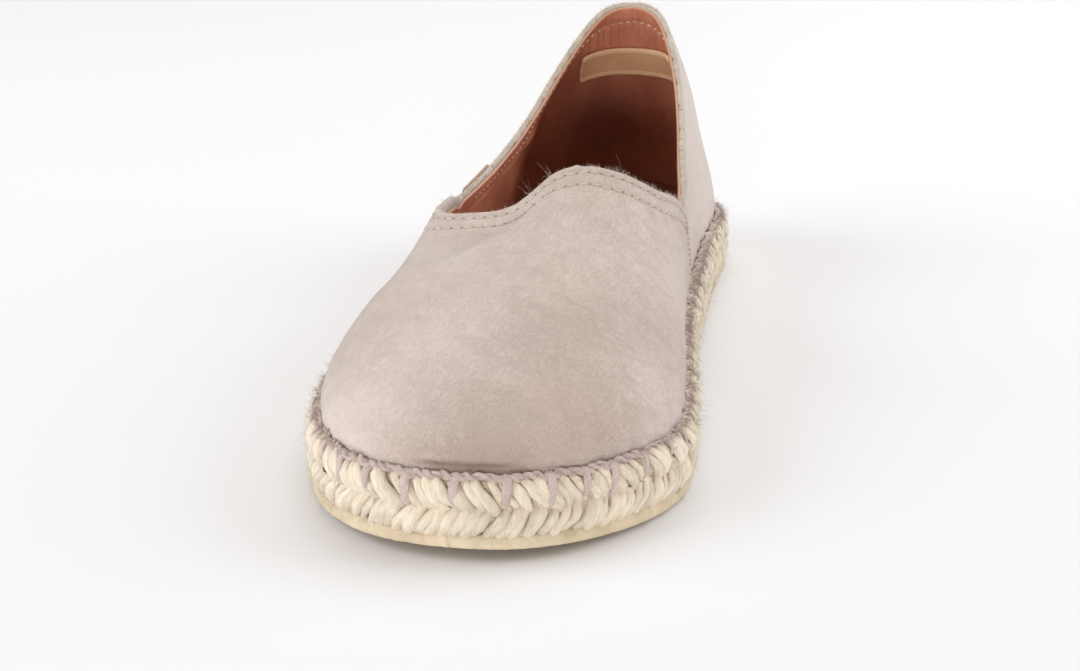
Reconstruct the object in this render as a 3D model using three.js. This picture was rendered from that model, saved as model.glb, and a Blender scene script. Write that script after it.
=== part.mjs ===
// Slip-on espadrille, right shoe, standing empty on its sole.
// A suede upper (vamp lapped over the quarter) on a braided rope sole with a thin rubber tread.
// Millimetres: toe towards -Y, heel towards +Y, inner (medial) side towards +X, up +Z.

import * as THREE from 'three';

// Driving dimensions
const LENGTH = 262;
const TREAD_THICKNESS = 3.0;
const SOLE_HEIGHT = 15.4;
const CENTRE_X = 1.9;
const GAP = 0.3;
const FEATHER_INSET = 3.0;
const WALL = 3.1;
const VAMP_STEP = 0.9;
const INSOLE_THICKNESS = 3.0;

// Lift of the whole shoe off the floor: height, and the shares of the length that it takes
const TOE_SPRING = { height: 3.0, share: 0.22 };
const WAIST_LIFT = { height: 0.8, from: 0.4, share: 0.32 };
const HEEL_LIFT = { height: 0.8, share: 0.07 };

// Rounded ends of the outline: share of the length that each takes, and its fullness
const TOE_CAP = { share: 0.3, fullness: 2.35 };
const HEEL_CAP = { share: 0.14, fullness: 2.2 };
const TOE_SWING = { offset: -1.5, share: 0.45 };

// Shares of a walk round one side of the outline that the two round ends take
const TOE_WALK = 0.2;
const HEEL_WALK = 0.14;

// Half widths of the rope sole beside the middle line; t runs from the toe (0) to the heel (1)
const OUTLINE = [
  { t: 0.0, lateral: 44.4, medial: 42.0 },
  { t: 0.15, lateral: 46.6, medial: 47.0 },
  { t: 0.27, lateral: 47.4, medial: 43.0 },
  { t: 0.38, lateral: 47.0, medial: 39.2 },
  { t: 0.5, lateral: 42.6, medial: 36.0 },
  { t: 0.62, lateral: 37.4, medial: 35.0 },
  { t: 0.75, lateral: 34.6, medial: 34.2 },
  { t: 0.86, lateral: 36.0, medial: 35.0 },
  { t: 1.0, lateral: 36.0, medial: 34.4 },
];

// Ridge of the last over the foot; over the opening it is only a construction line.
// side and crown say how full each cross section is at its side and at its top
const RIDGE = [
  { t: 0.15, x: 5.0, z: 34.0, side: 1.9, crown: 2.1 },
  { t: 0.28, x: 7.0, z: 43.5, side: 1.62, crown: 2.1 },
  { t: 0.4, x: 8.3, z: 55.0, side: 1.46, crown: 2.0 },
  { t: 0.475, x: 8.5, z: 68.5, side: 1.4, crown: 1.95 },
  { t: 0.56, x: 7.5, z: 82.5, side: 1.22, crown: 1.9 },
  { t: 0.7, x: 5.5, z: 91.5, side: 0.91, crown: 1.85 },
  { t: 0.9, x: 3.5, z: 97.6, side: 0.66, crown: 1.8 },
];
const RIDGE_REACH = { from: 0.04, to: 0.97, ease: 0.34 };
const RIDGE_ROUNDING = 0.14;
const SIDE_BULGE = { offset: 0.5, angle: 52 };

// Rear edge of the vamp over the instep, from the middle of the throat down to the quarter
const VAMP_EDGE = {
  lateral: [
    { t: 0.0, along: 0.4175, angle: 90 },
    { t: 0.2, along: 0.412, angle: 76 },
    { t: 0.4, along: 0.413, angle: 61 },
    { t: 0.6, along: 0.431, angle: 42 },
    { t: 0.8, along: 0.484, angle: 28.8 },
  ],
  medial: [
    { t: 0.0, along: 0.4175, angle: 90 },
    { t: 0.2, along: 0.421, angle: 74 },
    { t: 0.4, along: 0.435, angle: 58 },
    { t: 0.6, along: 0.461, angle: 42.5 },
    { t: 0.8, along: 0.508, angle: 29.5 },
  ],
};
const VAMP_CORNER = 0.562;
const VAMP_FOOT = 0.575;
const THROAT_FOOT = 0.35;

// Slack hollow that the empty vamp takes beside its ridge, under the throat on the outer side
const SLACK = { depth: 6.0, along: 0.415, angle: 64, reach: 0.075, spread: 21, ridgeEase: 22 };

// Height of the topline of the quarter above the floor
const COLLAR = [
  { t: 0.55, lateral: 38.2, medial: 37.6 },
  { t: 0.6, lateral: 40.4, medial: 39.8 },
  { t: 0.7, lateral: 47.2, medial: 46.9 },
  { t: 0.78, lateral: 57.5, medial: 57.3 },
  { t: 0.86, lateral: 69.0, medial: 69.0 },
  { t: 0.92, lateral: 75.0, medial: 75.0 },
  { t: 1.0, lateral: 78.4, medial: 78.4 },
];
const HEM = { extra: 0.7, share: 0.1 };

// Side of the rope sole from bottom to top: inset from the widest line, share of the height,
// depth of the grooves between strands, and whether the strands are the small lower ones
const ROPE_SIDE = [
  { inset: 2.0, height: 0.0, groove: 0.0, strands: 'lower' },
  { inset: 0.7, height: 0.09, groove: 0.6, strands: 'lower' },
  { inset: 0.2, height: 0.25, groove: 1.0, strands: 'lower' },
  { inset: 1.1, height: 0.43, groove: 0.3, strands: 'lower' },
  { inset: 0.0, height: 0.62, groove: 1.5, strands: 'upper' },
  { inset: 0.4, height: 0.82, groove: 1.5, strands: 'upper' },
  { inset: 1.7, height: 0.96, groove: 0.6, strands: 'upper' },
  { inset: 3.1, height: 1.0, groove: 0.0, strands: 'upper' },
];
const STRAND_PITCH = 10.24;
const STEPS_PER_STRAND = 6;
const LOWER_PER_UPPER = 2;
const STRAND_SLANT = 5.0;
const STRAND_WAIST = 0.43;

// Side of the rubber tread
const TREAD_SIDE = [
  { inset: 1.3, height: 0.0 },
  { inset: 0.5, height: 0.3 },
  { inset: 0.5, height: 1.0 },
];
const TREAD_STATIONS = 100;

// Side of the insole, inside the lining
const INSOLE_SIDE = [
  { inset: 0.5, height: 0.0 },
  { inset: 0.4, height: 0.7 },
  { inset: 1.6, height: 1.0 },
];
const INSOLE_STATIONS = 80;

// Tan strap across the inside of the heel, and the bare tab on the outer side of the quarter
const HEEL_BAND = {
  medialFrom: 0.912,
  lateralFrom: 0.946,
  bottom: 56.0,
  top: 65.0,
  clearance: 0.55,
  thickness: 1.2,
  columns: 14,
  rows: 3,
};
const SIDE_TAB = {
  from: 0.596,
  to: 0.652,
  drop: 1.2,
  height: 11.0,
  clearance: 0.35,
  thickness: 1.1,
  columns: 5,
  rows: 3,
};

// How finely the upper is meshed
const UPPER_ROWS = 10;
const FRONT_COLUMNS = 16;
const INSTEP_COLUMNS = 13;
const QUARTER_COLUMNS = 19;
const STEP_WIDTH = 0.0016;
const LOOP_SAMPLES = 2400;
const MERGE_GRID = 1e-3;

// Steps and limits of the searches along the shoe and up its side
const SEARCH_STEPS = 40;
const HIGHEST_ANGLE = 88;
const NORMAL_STEP = 2e-3;
const SLOPE_STEP = 1e-3;
const SHORTEST_STEP = 1e-9;

const MEDIAL = 1;
const LATERAL = -1;

const clamp = (value, low, high) => Math.min(high, Math.max(low, value));
const mix = (a, b, share) => a + (b - a) * share;
const smooth = (value) => {
  const s = clamp(value, 0, 1);
  return s * s * (3 - 2 * s);
};
const radians = (degrees) => (degrees * Math.PI) / 180;
const sideName = (side) => (side > 0 ? 'medial' : 'lateral');

// Slope of one column of a table at one of its rows
function slopeAt(rows, column, i) {
  const last = rows.length - 1;
  const rise = (a, b) => (rows[b][column] - rows[a][column]) / (rows[b].t - rows[a].t);
  if (i === 0) return rise(0, 1);
  if (i === last) return rise(last - 1, last);
  const before = rows[i].t - rows[i - 1].t;
  const after = rows[i + 1].t - rows[i].t;
  return (after * rise(i - 1, i) + before * rise(i, i + 1)) / (before + after);
}

// One column of a table, read as a smooth curve through its rows
function read(rows, column, t) {
  const x = clamp(t, rows[0].t, rows[rows.length - 1].t);
  let i = 0;
  while (i < rows.length - 2 && x > rows[i + 1].t) i += 1;
  const width = rows[i + 1].t - rows[i].t;
  const s = (x - rows[i].t) / width;
  const start = rows[i][column];
  const end = rows[i + 1][column];
  const leave = slopeAt(rows, column, i) * width;
  const arrive = slopeAt(rows, column, i + 1) * width;
  const s2 = s * s;
  const s3 = s2 * s;
  return (2 * s3 - 3 * s2 + 1) * start + (s3 - 2 * s2 + s) * leave
    + (3 * s2 - 2 * s3) * end + (s3 - s2) * arrive;
}

// How far the shoe is off the floor at a place along it
function lift(y) {
  const t = y / LENGTH + 0.5;
  const toe = clamp(1 - t / TOE_SPRING.share, 0, 1);
  const waist = Math.sin(Math.PI * clamp((t - WAIST_LIFT.from) / WAIST_LIFT.share, 0, 1));
  const heel = clamp(1 - (1 - t) / HEEL_LIFT.share, 0, 1);
  return TOE_SPRING.height * toe * toe + WAIST_LIFT.height * waist * waist
    + HEEL_LIFT.height * heel * heel;
}

// Narrowing of the outline towards the toe and the heel
function endCap(t) {
  const toe = clamp(1 - t / TOE_CAP.share, 0, 1);
  const heel = clamp(1 - (1 - t) / HEEL_CAP.share, 0, 1);
  return (1 - toe ** TOE_CAP.fullness) ** (1 / TOE_CAP.fullness)
    * (1 - heel ** HEEL_CAP.fullness) ** (1 / HEEL_CAP.fullness);
}

// Place along the shoe for a walk w round one side, slow at both round ends, so that w = 0..1
// spaces points evenly along the outline
function alongAt(w) {
  if (w < TOE_WALK) {
    const turn = (w / TOE_WALK) * (Math.PI / 2);
    return TOE_CAP.share * (1 - Math.cos(turn) ** (2 / TOE_CAP.fullness));
  }
  if (w > 1 - HEEL_WALK) {
    const turn = ((1 - w) / HEEL_WALK) * (Math.PI / 2);
    return 1 - HEEL_CAP.share * (1 - Math.cos(turn) ** (2 / HEEL_CAP.fullness));
  }
  return mix(TOE_CAP.share, 1 - HEEL_CAP.share, (w - TOE_WALK) / (1 - HEEL_WALK - TOE_WALK));
}

// The walk that reaches a place along the shoe
function walkTo(t) {
  let low = 0;
  let high = 1;
  for (let i = 0; i < SEARCH_STEPS; i += 1) {
    const middle = (low + high) / 2;
    if (alongAt(middle) < t) low = middle;
    else high = middle;
  }
  return (low + high) / 2;
}

// Point of the widest outline of the rope sole; a walk past either end goes on along the other side
function outlinePoint(w, side) {
  const folded = w < 0 ? -w : w > 1 ? 2 - w : w;
  const way = folded === w ? side : -side;
  const t = alongAt(folded);
  const half = read(OUTLINE, sideName(way), t) * endCap(t);
  const swing = TOE_SWING.offset * clamp(1 - t / TOE_SWING.share, 0, 1) ** 2;
  return new THREE.Vector2(way * half + swing, (t - 0.5) * LENGTH);
}

// Level normal of the outline, pointing away from the shoe
function outlineNormal(w, side) {
  const along = outlinePoint(w + NORMAL_STEP, side).sub(outlinePoint(w - NORMAL_STEP, side));
  const out = new THREE.Vector2(along.y, -along.x).multiplyScalar(side);
  return out.normalize();
}

// Dense walk round the whole outline, counterclockwise from the toe, with its running length
const LOOP = (() => {
  const stops = [];
  let length = 0;
  for (let i = 0; i <= LOOP_SAMPLES; i += 1) {
    const round = (i / LOOP_SAMPLES) * 2;
    const side = round <= 1 ? MEDIAL : LATERAL;
    const w = round <= 1 ? round : 2 - round;
    const point = outlinePoint(w, side);
    if (i > 0) length += point.distanceTo(stops[i - 1].point);
    stops.push({ point, length, normal: outlineNormal(w, side) });
  }
  return { stops, length };
})();

// Point and normal at a running length round the outline
function loopAt(length) {
  const wanted = ((length % LOOP.length) + LOOP.length) % LOOP.length;
  let low = 0;
  let high = LOOP.stops.length - 1;
  while (high - low > 1) {
    const middle = (low + high) >> 1;
    if (LOOP.stops[middle].length <= wanted) low = middle;
    else high = middle;
  }
  const a = LOOP.stops[low];
  const b = LOOP.stops[high];
  const share = (wanted - a.length) / Math.max(b.length - a.length, SHORTEST_STEP);
  const normal = a.normal.clone().lerp(b.normal, share).normalize();
  return { point: a.point.clone().lerp(b.point, share), normal };
}

// Soft ramp from 0 to 1 that leaves and arrives level
function easedRamp(value, ease) {
  const x = clamp(value, 0, 1);
  const slope = 1 / (1 - ease);
  if (x < ease) return (slope * x * x) / (2 * ease);
  if (x > 1 - ease) return 1 - (slope * (1 - x) ** 2) / (2 * ease);
  return slope * (x - ease / 2);
}

// Ridge point of the cross section that starts at the walk w, with the ridge's own slope
function ridgeAt(w) {
  const first = RIDGE[0].t;
  const last = RIDGE[RIDGE.length - 1].t;
  const share = (alongAt(w) - RIDGE_REACH.from) / (RIDGE_REACH.to - RIDGE_REACH.from);
  const t = mix(first, last, easedRamp(share, RIDGE_REACH.ease));
  const before = clamp(t - SLOPE_STEP, first, last);
  const after = clamp(t + SLOPE_STEP, first, last);
  const slope = (read(RIDGE, 'z', after) - read(RIDGE, 'z', before)) / ((after - before) * LENGTH);
  return {
    point: new THREE.Vector2(read(RIDGE, 'x', t), (t - 0.5) * LENGTH),
    z: read(RIDGE, 'z', t),
    side: read(RIDGE, 'side', t),
    crown: read(RIDGE, 'crown', t),
    slope,
  };
}

// Depth of the slack hollow in the outer side of the vamp
function slackAt(w, side, angle) {
  if (side > 0) return 0;
  const along = (alongAt(w) - SLACK.along) / SLACK.reach;
  const around = (angle - SLACK.angle) / SLACK.spread;
  const fade = smooth((90 - angle) / SLACK.ridgeEase);
  return SLACK.depth * Math.exp(-along * along - around * around) * fade;
}

// Surface of the last: angle 0 is the feather line on the sole, 90 is the ridge
function lastPoint(w, side, angle) {
  const theta = radians(angle);
  const ridge = ridgeAt(w);
  const foot = outlinePoint(w, side).sub(outlineNormal(w, side).multiplyScalar(FEATHER_INSET));
  const spread = foot.clone().sub(ridge.point);
  const roundScale = Math.sqrt(1 + RIDGE_ROUNDING ** 2) - RIDGE_ROUNDING;
  const plain = Math.max(Math.cos(theta), 0) ** (2 / ridge.side);
  const out = Math.sqrt(Math.max((plain * roundScale + RIDGE_ROUNDING) ** 2 - RIDGE_ROUNDING ** 2, 0));
  const up = Math.sin(theta) ** (2 / ridge.crown);
  const bulge = SIDE_BULGE.offset * Math.sin(Math.PI * clamp(angle / SIDE_BULGE.angle, 0, 1));
  const place = ridge.point.clone().addScaledVector(spread, out).addScaledVector(spread.normalize(), bulge);
  const tilt = ridge.slope * (place.y - ridge.point.y) * Math.sin(theta) ** 2;
  const z = SOLE_HEIGHT + GAP + (ridge.z - SOLE_HEIGHT) * up + tilt - slackAt(w, side, angle);
  return new THREE.Vector3(place.x, place.y, z + lift(place.y));
}

// Angle at which a cross section reaches a height
function angleAtHeight(w, side, height) {
  let low = 0;
  let high = HIGHEST_ANGLE;
  for (let i = 0; i < SEARCH_STEPS; i += 1) {
    const middle = (low + high) / 2;
    if (lastPoint(w, side, middle).z < height) low = middle;
    else high = middle;
  }
  return (low + high) / 2;
}

// Angle of the topline of the quarter
function collarAngle(w, side) {
  return angleAtHeight(w, side, read(COLLAR, sideName(side), alongAt(w)));
}

// The vamp's rear edge with its last row on the topline of the quarter
function vampEdgeRows(side) {
  const corner = { t: 1, along: VAMP_CORNER, angle: collarAngle(walkTo(VAMP_CORNER), side) };
  return [...VAMP_EDGE[sideName(side)], corner];
}

// Columns of the upper on one side, toe to heel: where each starts on the feather line, where it
// ends on the ridge or topline, and how far it stands out of the last
function upperColumns(side) {
  const throat = VAMP_EDGE.medial[0].along;
  const columns = [];
  for (let i = 0; i < FRONT_COLUMNS; i += 1) {
    const s = i / FRONT_COLUMNS;
    columns.push({ foot: walkTo(THROAT_FOOT) * s, end: walkTo(throat) * s, angle: 90, out: 0, hem: 0 });
  }
  const edge = vampEdgeRows(side);
  for (let i = 0; i <= INSTEP_COLUMNS; i += 1) {
    const s = i / INSTEP_COLUMNS;
    const foot = mix(walkTo(THROAT_FOOT), walkTo(VAMP_FOOT), s);
    const end = walkTo(read(edge, 'along', s));
    columns.push({ foot, end, angle: read(edge, 'angle', s), out: 0, hem: HEM.extra });
  }
  const first = walkTo(VAMP_FOOT) + STEP_WIDTH;
  const firstEnd = walkTo(VAMP_CORNER) + STEP_WIDTH;
  for (let i = 0; i <= QUARTER_COLUMNS; i += 1) {
    const s = i / QUARTER_COLUMNS;
    const foot = mix(first, 1, s);
    const end = mix(firstEnd, 1, s);
    const angle = collarAngle(end, side);
    columns.push({ foot, end, angle, out: -VAMP_STEP, hem: HEM.extra });
  }
  return columns;
}

// An open sheet on the last, kept as shared points with normals, made solid by skin()
class Sheet {
  constructor() {
    this.points = [];
    this.outs = [];
    this.ins = [];
    this.level = [];
    this.faces = [];
    this.lookup = new Map();
  }

  // A point is shared with any earlier one at the same place
  point(position, out, inner, levelNormal) {
    const key = position.toArray().map((value) => Math.round(value / MERGE_GRID)).join(' ');
    const found = this.lookup.get(key);
    if (found !== undefined) return found;
    this.lookup.set(key, this.points.length);
    this.points.push(position);
    this.outs.push(out);
    this.ins.push(inner);
    this.level.push(levelNormal);
    return this.points.length - 1;
  }

  face(a, b, c) {
    if (a !== b && b !== c && c !== a) this.faces.push([a, b, c]);
  }

  // Rows and columns of points joined by triangles, turned so that they face away from the shoe
  grid(columns, flip) {
    for (let i = 0; i < columns.length - 1; i += 1) {
      for (let j = 0; j < columns[i].length - 1; j += 1) {
        const a = columns[i][j];
        const b = columns[i + 1][j];
        const c = columns[i + 1][j + 1];
        const d = columns[i][j + 1];
        if (flip) {
          this.face(a, d, c);
          this.face(a, c, b);
        } else {
          this.face(a, b, c);
          this.face(a, c, d);
        }
      }
    }
  }

  normals() {
    const sums = this.points.map(() => new THREE.Vector3());
    for (const [a, b, c] of this.faces) {
      const one = this.points[b].clone().sub(this.points[a]);
      const two = this.points[c].clone().sub(this.points[a]);
      const normal = one.cross(two);
      for (const k of [a, b, c]) sums[k].add(normal);
    }
    return sums.map((sum, k) => (this.level[k] ? this.level[k].clone() : sum.normalize()));
  }

  // The solid between the sheet moved out and the sheet moved in, closed along its edges
  skin() {
    const normals = this.normals();
    const count = this.points.length;
    const outer = this.points.map((p, k) => p.clone().addScaledVector(normals[k], this.outs[k]));
    const inner = this.points.map((p, k) => p.clone().addScaledVector(normals[k], -this.ins[k]));
    const faces = [];
    const edges = new Map();
    for (const [a, b, c] of this.faces) {
      faces.push([a, b, c], [count + a, count + c, count + b]);
      for (const [from, to] of [[a, b], [b, c], [c, a]]) edges.set(`${from} ${to}`, [from, to]);
    }
    for (const [from, to] of edges.values()) {
      if (!edges.has(`${to} ${from}`)) {
        faces.push([to, from, count + from], [to, count + from, count + to]);
      }
    }
    return geometryFrom([...outer, ...inner], faces);
  }
}

function geometryFrom(points, faces) {
  const geometry = new THREE.BufferGeometry();
  geometry.setAttribute('position', new THREE.Float32BufferAttribute(points.flatMap((p) => p.toArray()), 3));
  geometry.setIndex(faces.flat());
  geometry.computeVertexNormals();
  return geometry;
}

// Closed body from level rings, bottom to top, all counterclockwise from the toe
function ringBody(rings) {
  const count = rings[0].length;
  const faces = [];
  const at = (ring, k) => ring * count + (k % count);
  for (let ring = 0; ring < rings.length - 1; ring += 1) {
    for (let k = 0; k < count; k += 1) {
      faces.push([at(ring, k), at(ring, k + 1), at(ring + 1, k + 1)]);
      faces.push([at(ring, k), at(ring + 1, k + 1), at(ring + 1, k)]);
    }
  }
  const top = rings.length - 1;
  const rung = (a, b, c) => {
    faces.push([at(top, a), at(top, b), at(top, c)]);
    faces.push([at(0, a), at(0, c), at(0, b)]);
  };
  rung(0, 1, count - 1);
  for (let k = 1; k < count / 2 - 1; k += 1) {
    rung(k, k + 1, count - k - 1);
    rung(k, count - k - 1, count - k);
  }
  rung(count / 2 - 1, count / 2, count / 2 + 1);
  return geometryFrom(rings.flat(), faces);
}

// Ring of points round the outline, drawn in from the widest line
function ring(stations, z, insetAt, shift = 0) {
  const points = [];
  for (let k = 0; k < stations; k += 1) {
    const stop = loopAt((k / stations) * LOOP.length - shift);
    const place = stop.point.addScaledVector(stop.normal, -insetAt(k));
    points.push(new THREE.Vector3(place.x, place.y, z + lift(place.y)));
  }
  return points;
}

// Rubber tread under the whole sole
function outsoleGeometry() {
  const rings = TREAD_SIDE.map((row) => {
    const z = TREAD_THICKNESS * row.height;
    return ring(TREAD_STATIONS, z, () => row.inset);
  });
  return ringBody(rings);
}

// Depth below the crest of a strand: a sharp groove at each whole turn
function grooveDepth(turn, depth) {
  return depth * (1 - Math.sqrt(Math.abs(Math.sin(Math.PI * turn))));
}

// Rope sole: an upper row of fat slanting strands over a lower row of small ones slanting back
function ropeSoleGeometry() {
  const strands = Math.round(LOOP.length / STRAND_PITCH);
  const stations = strands * STEPS_PER_STRAND;
  const bottom = TREAD_THICKNESS + GAP;
  const rings = ROPE_SIDE.map((row) => {
    const perStrand = row.strands === 'upper' ? 1 : LOWER_PER_UPPER;
    const insetAt = (k) => row.inset + grooveDepth((k / STEPS_PER_STRAND) * perStrand, row.groove);
    const shift = STRAND_SLANT * Math.abs(row.height - STRAND_WAIST);
    return ring(stations, mix(bottom, SOLE_HEIGHT, row.height), insetAt, shift);
  });
  return ringBody(rings);
}

// Insole on top of the rope, just inside the upper
function insoleGeometry() {
  const wall = FEATHER_INSET + WALL;
  const bottom = SOLE_HEIGHT + GAP;
  const rings = INSOLE_SIDE.map((row) => {
    const z = bottom + INSOLE_THICKNESS * row.height;
    return ring(INSOLE_STATIONS, z, () => wall + GAP + row.inset);
  });
  return ringBody(rings);
}

// Upper: one hollow skin of suede and lining, thicker at its turned edge, with the vamp a step
// outside the quarter
function upperGeometry() {
  const sheet = new Sheet();
  for (const side of [MEDIAL, LATERAL]) {
    const columns = upperColumns(side).map((column) => {
      const ids = [];
      for (let j = 0; j <= UPPER_ROWS; j += 1) {
        const u = j / UPPER_ROWS;
        const w = mix(column.foot, column.end, u);
        const normal = outlineNormal(w, side);
        const level = j === 0 ? new THREE.Vector3(normal.x, normal.y, 0) : null;
        const hem = column.hem * smooth((u - 1 + HEM.share) / HEM.share);
        const position = lastPoint(w, side, column.angle * u);
        ids.push(sheet.point(position, column.out, WALL + hem, level));
      }
      return ids;
    });
    sheet.grid(columns, side < 0);
  }
  return sheet.skin();
}

// A strap or tab lying along the wall of the quarter between two heights
function wallPatch({ size, placeAt, bottomAt, topAt, out, inner }) {
  const sheet = new Sheet();
  const ids = [];
  for (let i = 0; i <= size.columns; i += 1) {
    const { w, side } = placeAt(i / size.columns);
    const line = [];
    for (let j = 0; j <= size.rows; j += 1) {
      const height = mix(bottomAt(w, side), topAt(w, side), j / size.rows);
      line.push(sheet.point(lastPoint(w, side, angleAtHeight(w, side, height)), out, inner, null));
    }
    ids.push(line);
  }
  sheet.grid(ids, false);
  return sheet.skin();
}

// Strap across the inside of the heel
function heelBandGeometry() {
  const start = walkTo(HEEL_BAND.medialFrom);
  const end = 2 - walkTo(HEEL_BAND.lateralFrom);
  const depth = WALL + HEEL_BAND.clearance;
  return wallPatch({
    size: HEEL_BAND,
    placeAt: (s) => {
      const round = mix(start, end, s);
      return round <= 1 ? { w: round, side: MEDIAL } : { w: 2 - round, side: LATERAL };
    },
    bottomAt: () => HEEL_BAND.bottom,
    topAt: () => HEEL_BAND.top,
    out: -depth,
    inner: depth + HEEL_BAND.thickness,
  });
}

// Bare leather tab on the outer side, just under the topline
function sideTabGeometry() {
  const topAt = (w, side) => read(COLLAR, sideName(side), alongAt(w)) - SIDE_TAB.drop;
  return wallPatch({
    size: SIDE_TAB,
    placeAt: (s) => ({ w: mix(walkTo(SIDE_TAB.to), walkTo(SIDE_TAB.from), s), side: LATERAL }),
    bottomAt: (w, side) => topAt(w, side) - SIDE_TAB.height,
    topAt,
    out: SIDE_TAB.clearance + SIDE_TAB.thickness - VAMP_STEP,
    inner: VAMP_STEP - SIDE_TAB.clearance,
  });
}

// Colours as photographed
const FINISHES = {
  rubber: { color: 0xd4bfa6, roughness: 0.75, metalness: 0 },
  jute: { color: 0xe2d3bd, roughness: 0.95, metalness: 0 },
  suede: { color: 0xd0c2b9, roughness: 0.95, metalness: 0 },
  lining: { color: 0x69372a, roughness: 0.55, metalness: 0 },
  band: { color: 0xb98a5e, roughness: 0.6, metalness: 0 },
  tab: { color: 0xa98868, roughness: 0.7, metalness: 0 },
};

// A named piece, moved sideways so that the middle of the whole shoe stands over the origin
function piece(name, geometry, finish) {
  geometry.translate(CENTRE_X, 0, 0);
  const mesh = new THREE.Mesh(geometry, new THREE.MeshStandardMaterial(FINISHES[finish]));
  mesh.name = name;
  return mesh;
}

const espadrille = new THREE.Group();
espadrille.add(
  piece('outsole', outsoleGeometry(), 'rubber'),
  piece('jute_sole', ropeSoleGeometry(), 'jute'),
  piece('insole', insoleGeometry(), 'lining'),
  piece('upper', upperGeometry(), 'suede'),
  piece('heel_band', heelBandGeometry(), 'band'),
  piece('side_tab', sideTabGeometry(), 'tab'),
);

export default espadrille;
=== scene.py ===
"""Looks of a slip-on espadrille: a right shoe of pale suede on a braided rope sole.

Sizes are in millimetres on the shoe's own last and become metres when a piece is made. The toe
points to -Y, the heel to +Y, and the inner side of the foot to +X.
"""

from __future__ import annotations

import logging
from collections.abc import Callable, Sequence
from dataclasses import dataclass, field
from enum import Enum, IntEnum
from typing import Any

import bpy
import numpy as np
from mathutils import Matrix, Vector
from mathutils.bvhtree import BVHTree


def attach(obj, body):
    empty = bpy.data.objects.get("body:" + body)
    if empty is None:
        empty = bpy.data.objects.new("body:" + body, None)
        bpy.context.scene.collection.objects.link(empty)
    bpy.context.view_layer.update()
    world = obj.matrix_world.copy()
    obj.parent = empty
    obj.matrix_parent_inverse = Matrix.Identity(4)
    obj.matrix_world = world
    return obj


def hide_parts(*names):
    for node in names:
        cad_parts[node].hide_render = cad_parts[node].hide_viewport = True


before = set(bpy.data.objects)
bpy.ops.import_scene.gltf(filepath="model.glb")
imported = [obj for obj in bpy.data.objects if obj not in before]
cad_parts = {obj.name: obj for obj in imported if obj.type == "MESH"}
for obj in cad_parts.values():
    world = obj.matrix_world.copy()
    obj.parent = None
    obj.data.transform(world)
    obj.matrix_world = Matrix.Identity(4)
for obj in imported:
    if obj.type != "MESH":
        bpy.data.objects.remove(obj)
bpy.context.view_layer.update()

LOG = logging.getLogger("espadrille")
MM = 0.001
WELD = 0.002

Array = np.ndarray
Colour = tuple[float, float, float]
Place = tuple[float, float, float]
Socket = bpy.types.NodeSocket
NodeGroup = bpy.types.NodeTree
Node = bpy.types.Node


class Side(IntEnum):
    """The two sides of the shoe, by the sign of X."""

    INNER = 1
    OUTER = -1


class Slot(Enum):
    """Material slots of the record."""

    OUTSOLE = "outsole"
    JUTE = "jute"
    INSOLE = "insole"
    UPPER = "upper"
    HEEL_BAND = "heel_band"
    SIDE_TAB = "side_tab"


def ease(value: Array) -> Array:
    """Soft step from 0 to 1."""
    s = np.clip(value, 0.0, 1.0)
    return s * s * (3.0 - 2.0 * s)


def unit(vectors: Array) -> Array:
    """Vectors scaled to length 1."""
    return vectors / np.maximum(np.linalg.norm(vectors, axis=-1, keepdims=True), 1e-12)


def grid_faces(rows: int, columns: int, closed: bool = False) -> Array:
    """Faces of a grid of points that are kept row after row.

    Args:
        rows: Number of rows.
        columns: Number of points in a row.
        closed: Whether the last row joins the first.

    Returns:
        Four point numbers a face.
    """
    ids = np.arange(rows * columns).reshape(rows, columns)
    if closed:
        ids = np.concatenate([ids, ids[:1]])
    return np.stack([ids[:-1, :-1], ids[:-1, 1:], ids[1:, 1:], ids[1:, :-1]], -1).reshape(-1, 4)


def graded(count: int, tight: float) -> Array:
    """count + 1 numbers from 0 to 1, closer together at both ends the nearer tight is to 1."""
    s = np.linspace(0.0, 1.0, count + 1)
    return s - tight * np.sin(2.0 * np.pi * s) / (2.0 * np.pi)


@dataclass(frozen=True)
class SizeCurve:
    """One column of sizes along the shoe, read as a smooth curve through its rows."""

    at: tuple[float, ...]
    value: tuple[float, ...]

    def __call__(self, t: Array | float) -> Array:
        """Sizes at places along the shoe.

        Args:
            t: Places from the toe (0) to the heel (1).

        Returns:
            The size at each place.
        """
        at, value = np.asarray(self.at), np.asarray(self.value, float)
        gap = np.diff(at)
        rise = np.diff(value) / gap
        slope = np.empty_like(value)
        slope[0], slope[-1] = rise[0], rise[-1]
        slope[1:-1] = (gap[1:] * rise[:-1] + gap[:-1] * rise[1:]) / (gap[1:] + gap[:-1])
        x = np.clip(t, at[0], at[-1])
        i = np.clip(np.searchsorted(at, x, side="left") - 1, 0, len(at) - 2)
        s = (x - at[i]) / gap[i]
        keep = 2 * s**3 - 3 * s**2 + 1
        leave = (s**3 - 2 * s**2 + s) * slope[i] * gap[i]
        arrive = (s**3 - s**2) * slope[i + 1] * gap[i]
        return keep * value[i] + leave + (1 - keep) * value[i + 1] + arrive


OUTLINE_AT = (0.0, 0.15, 0.27, 0.38, 0.5, 0.62, 0.75, 0.86, 1.0)
RIDGE_AT = (0.15, 0.28, 0.4, 0.475, 0.56, 0.7, 0.9)
COLLAR_AT = (0.55, 0.6, 0.7, 0.78, 0.86, 0.92, 1.0)


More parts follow.
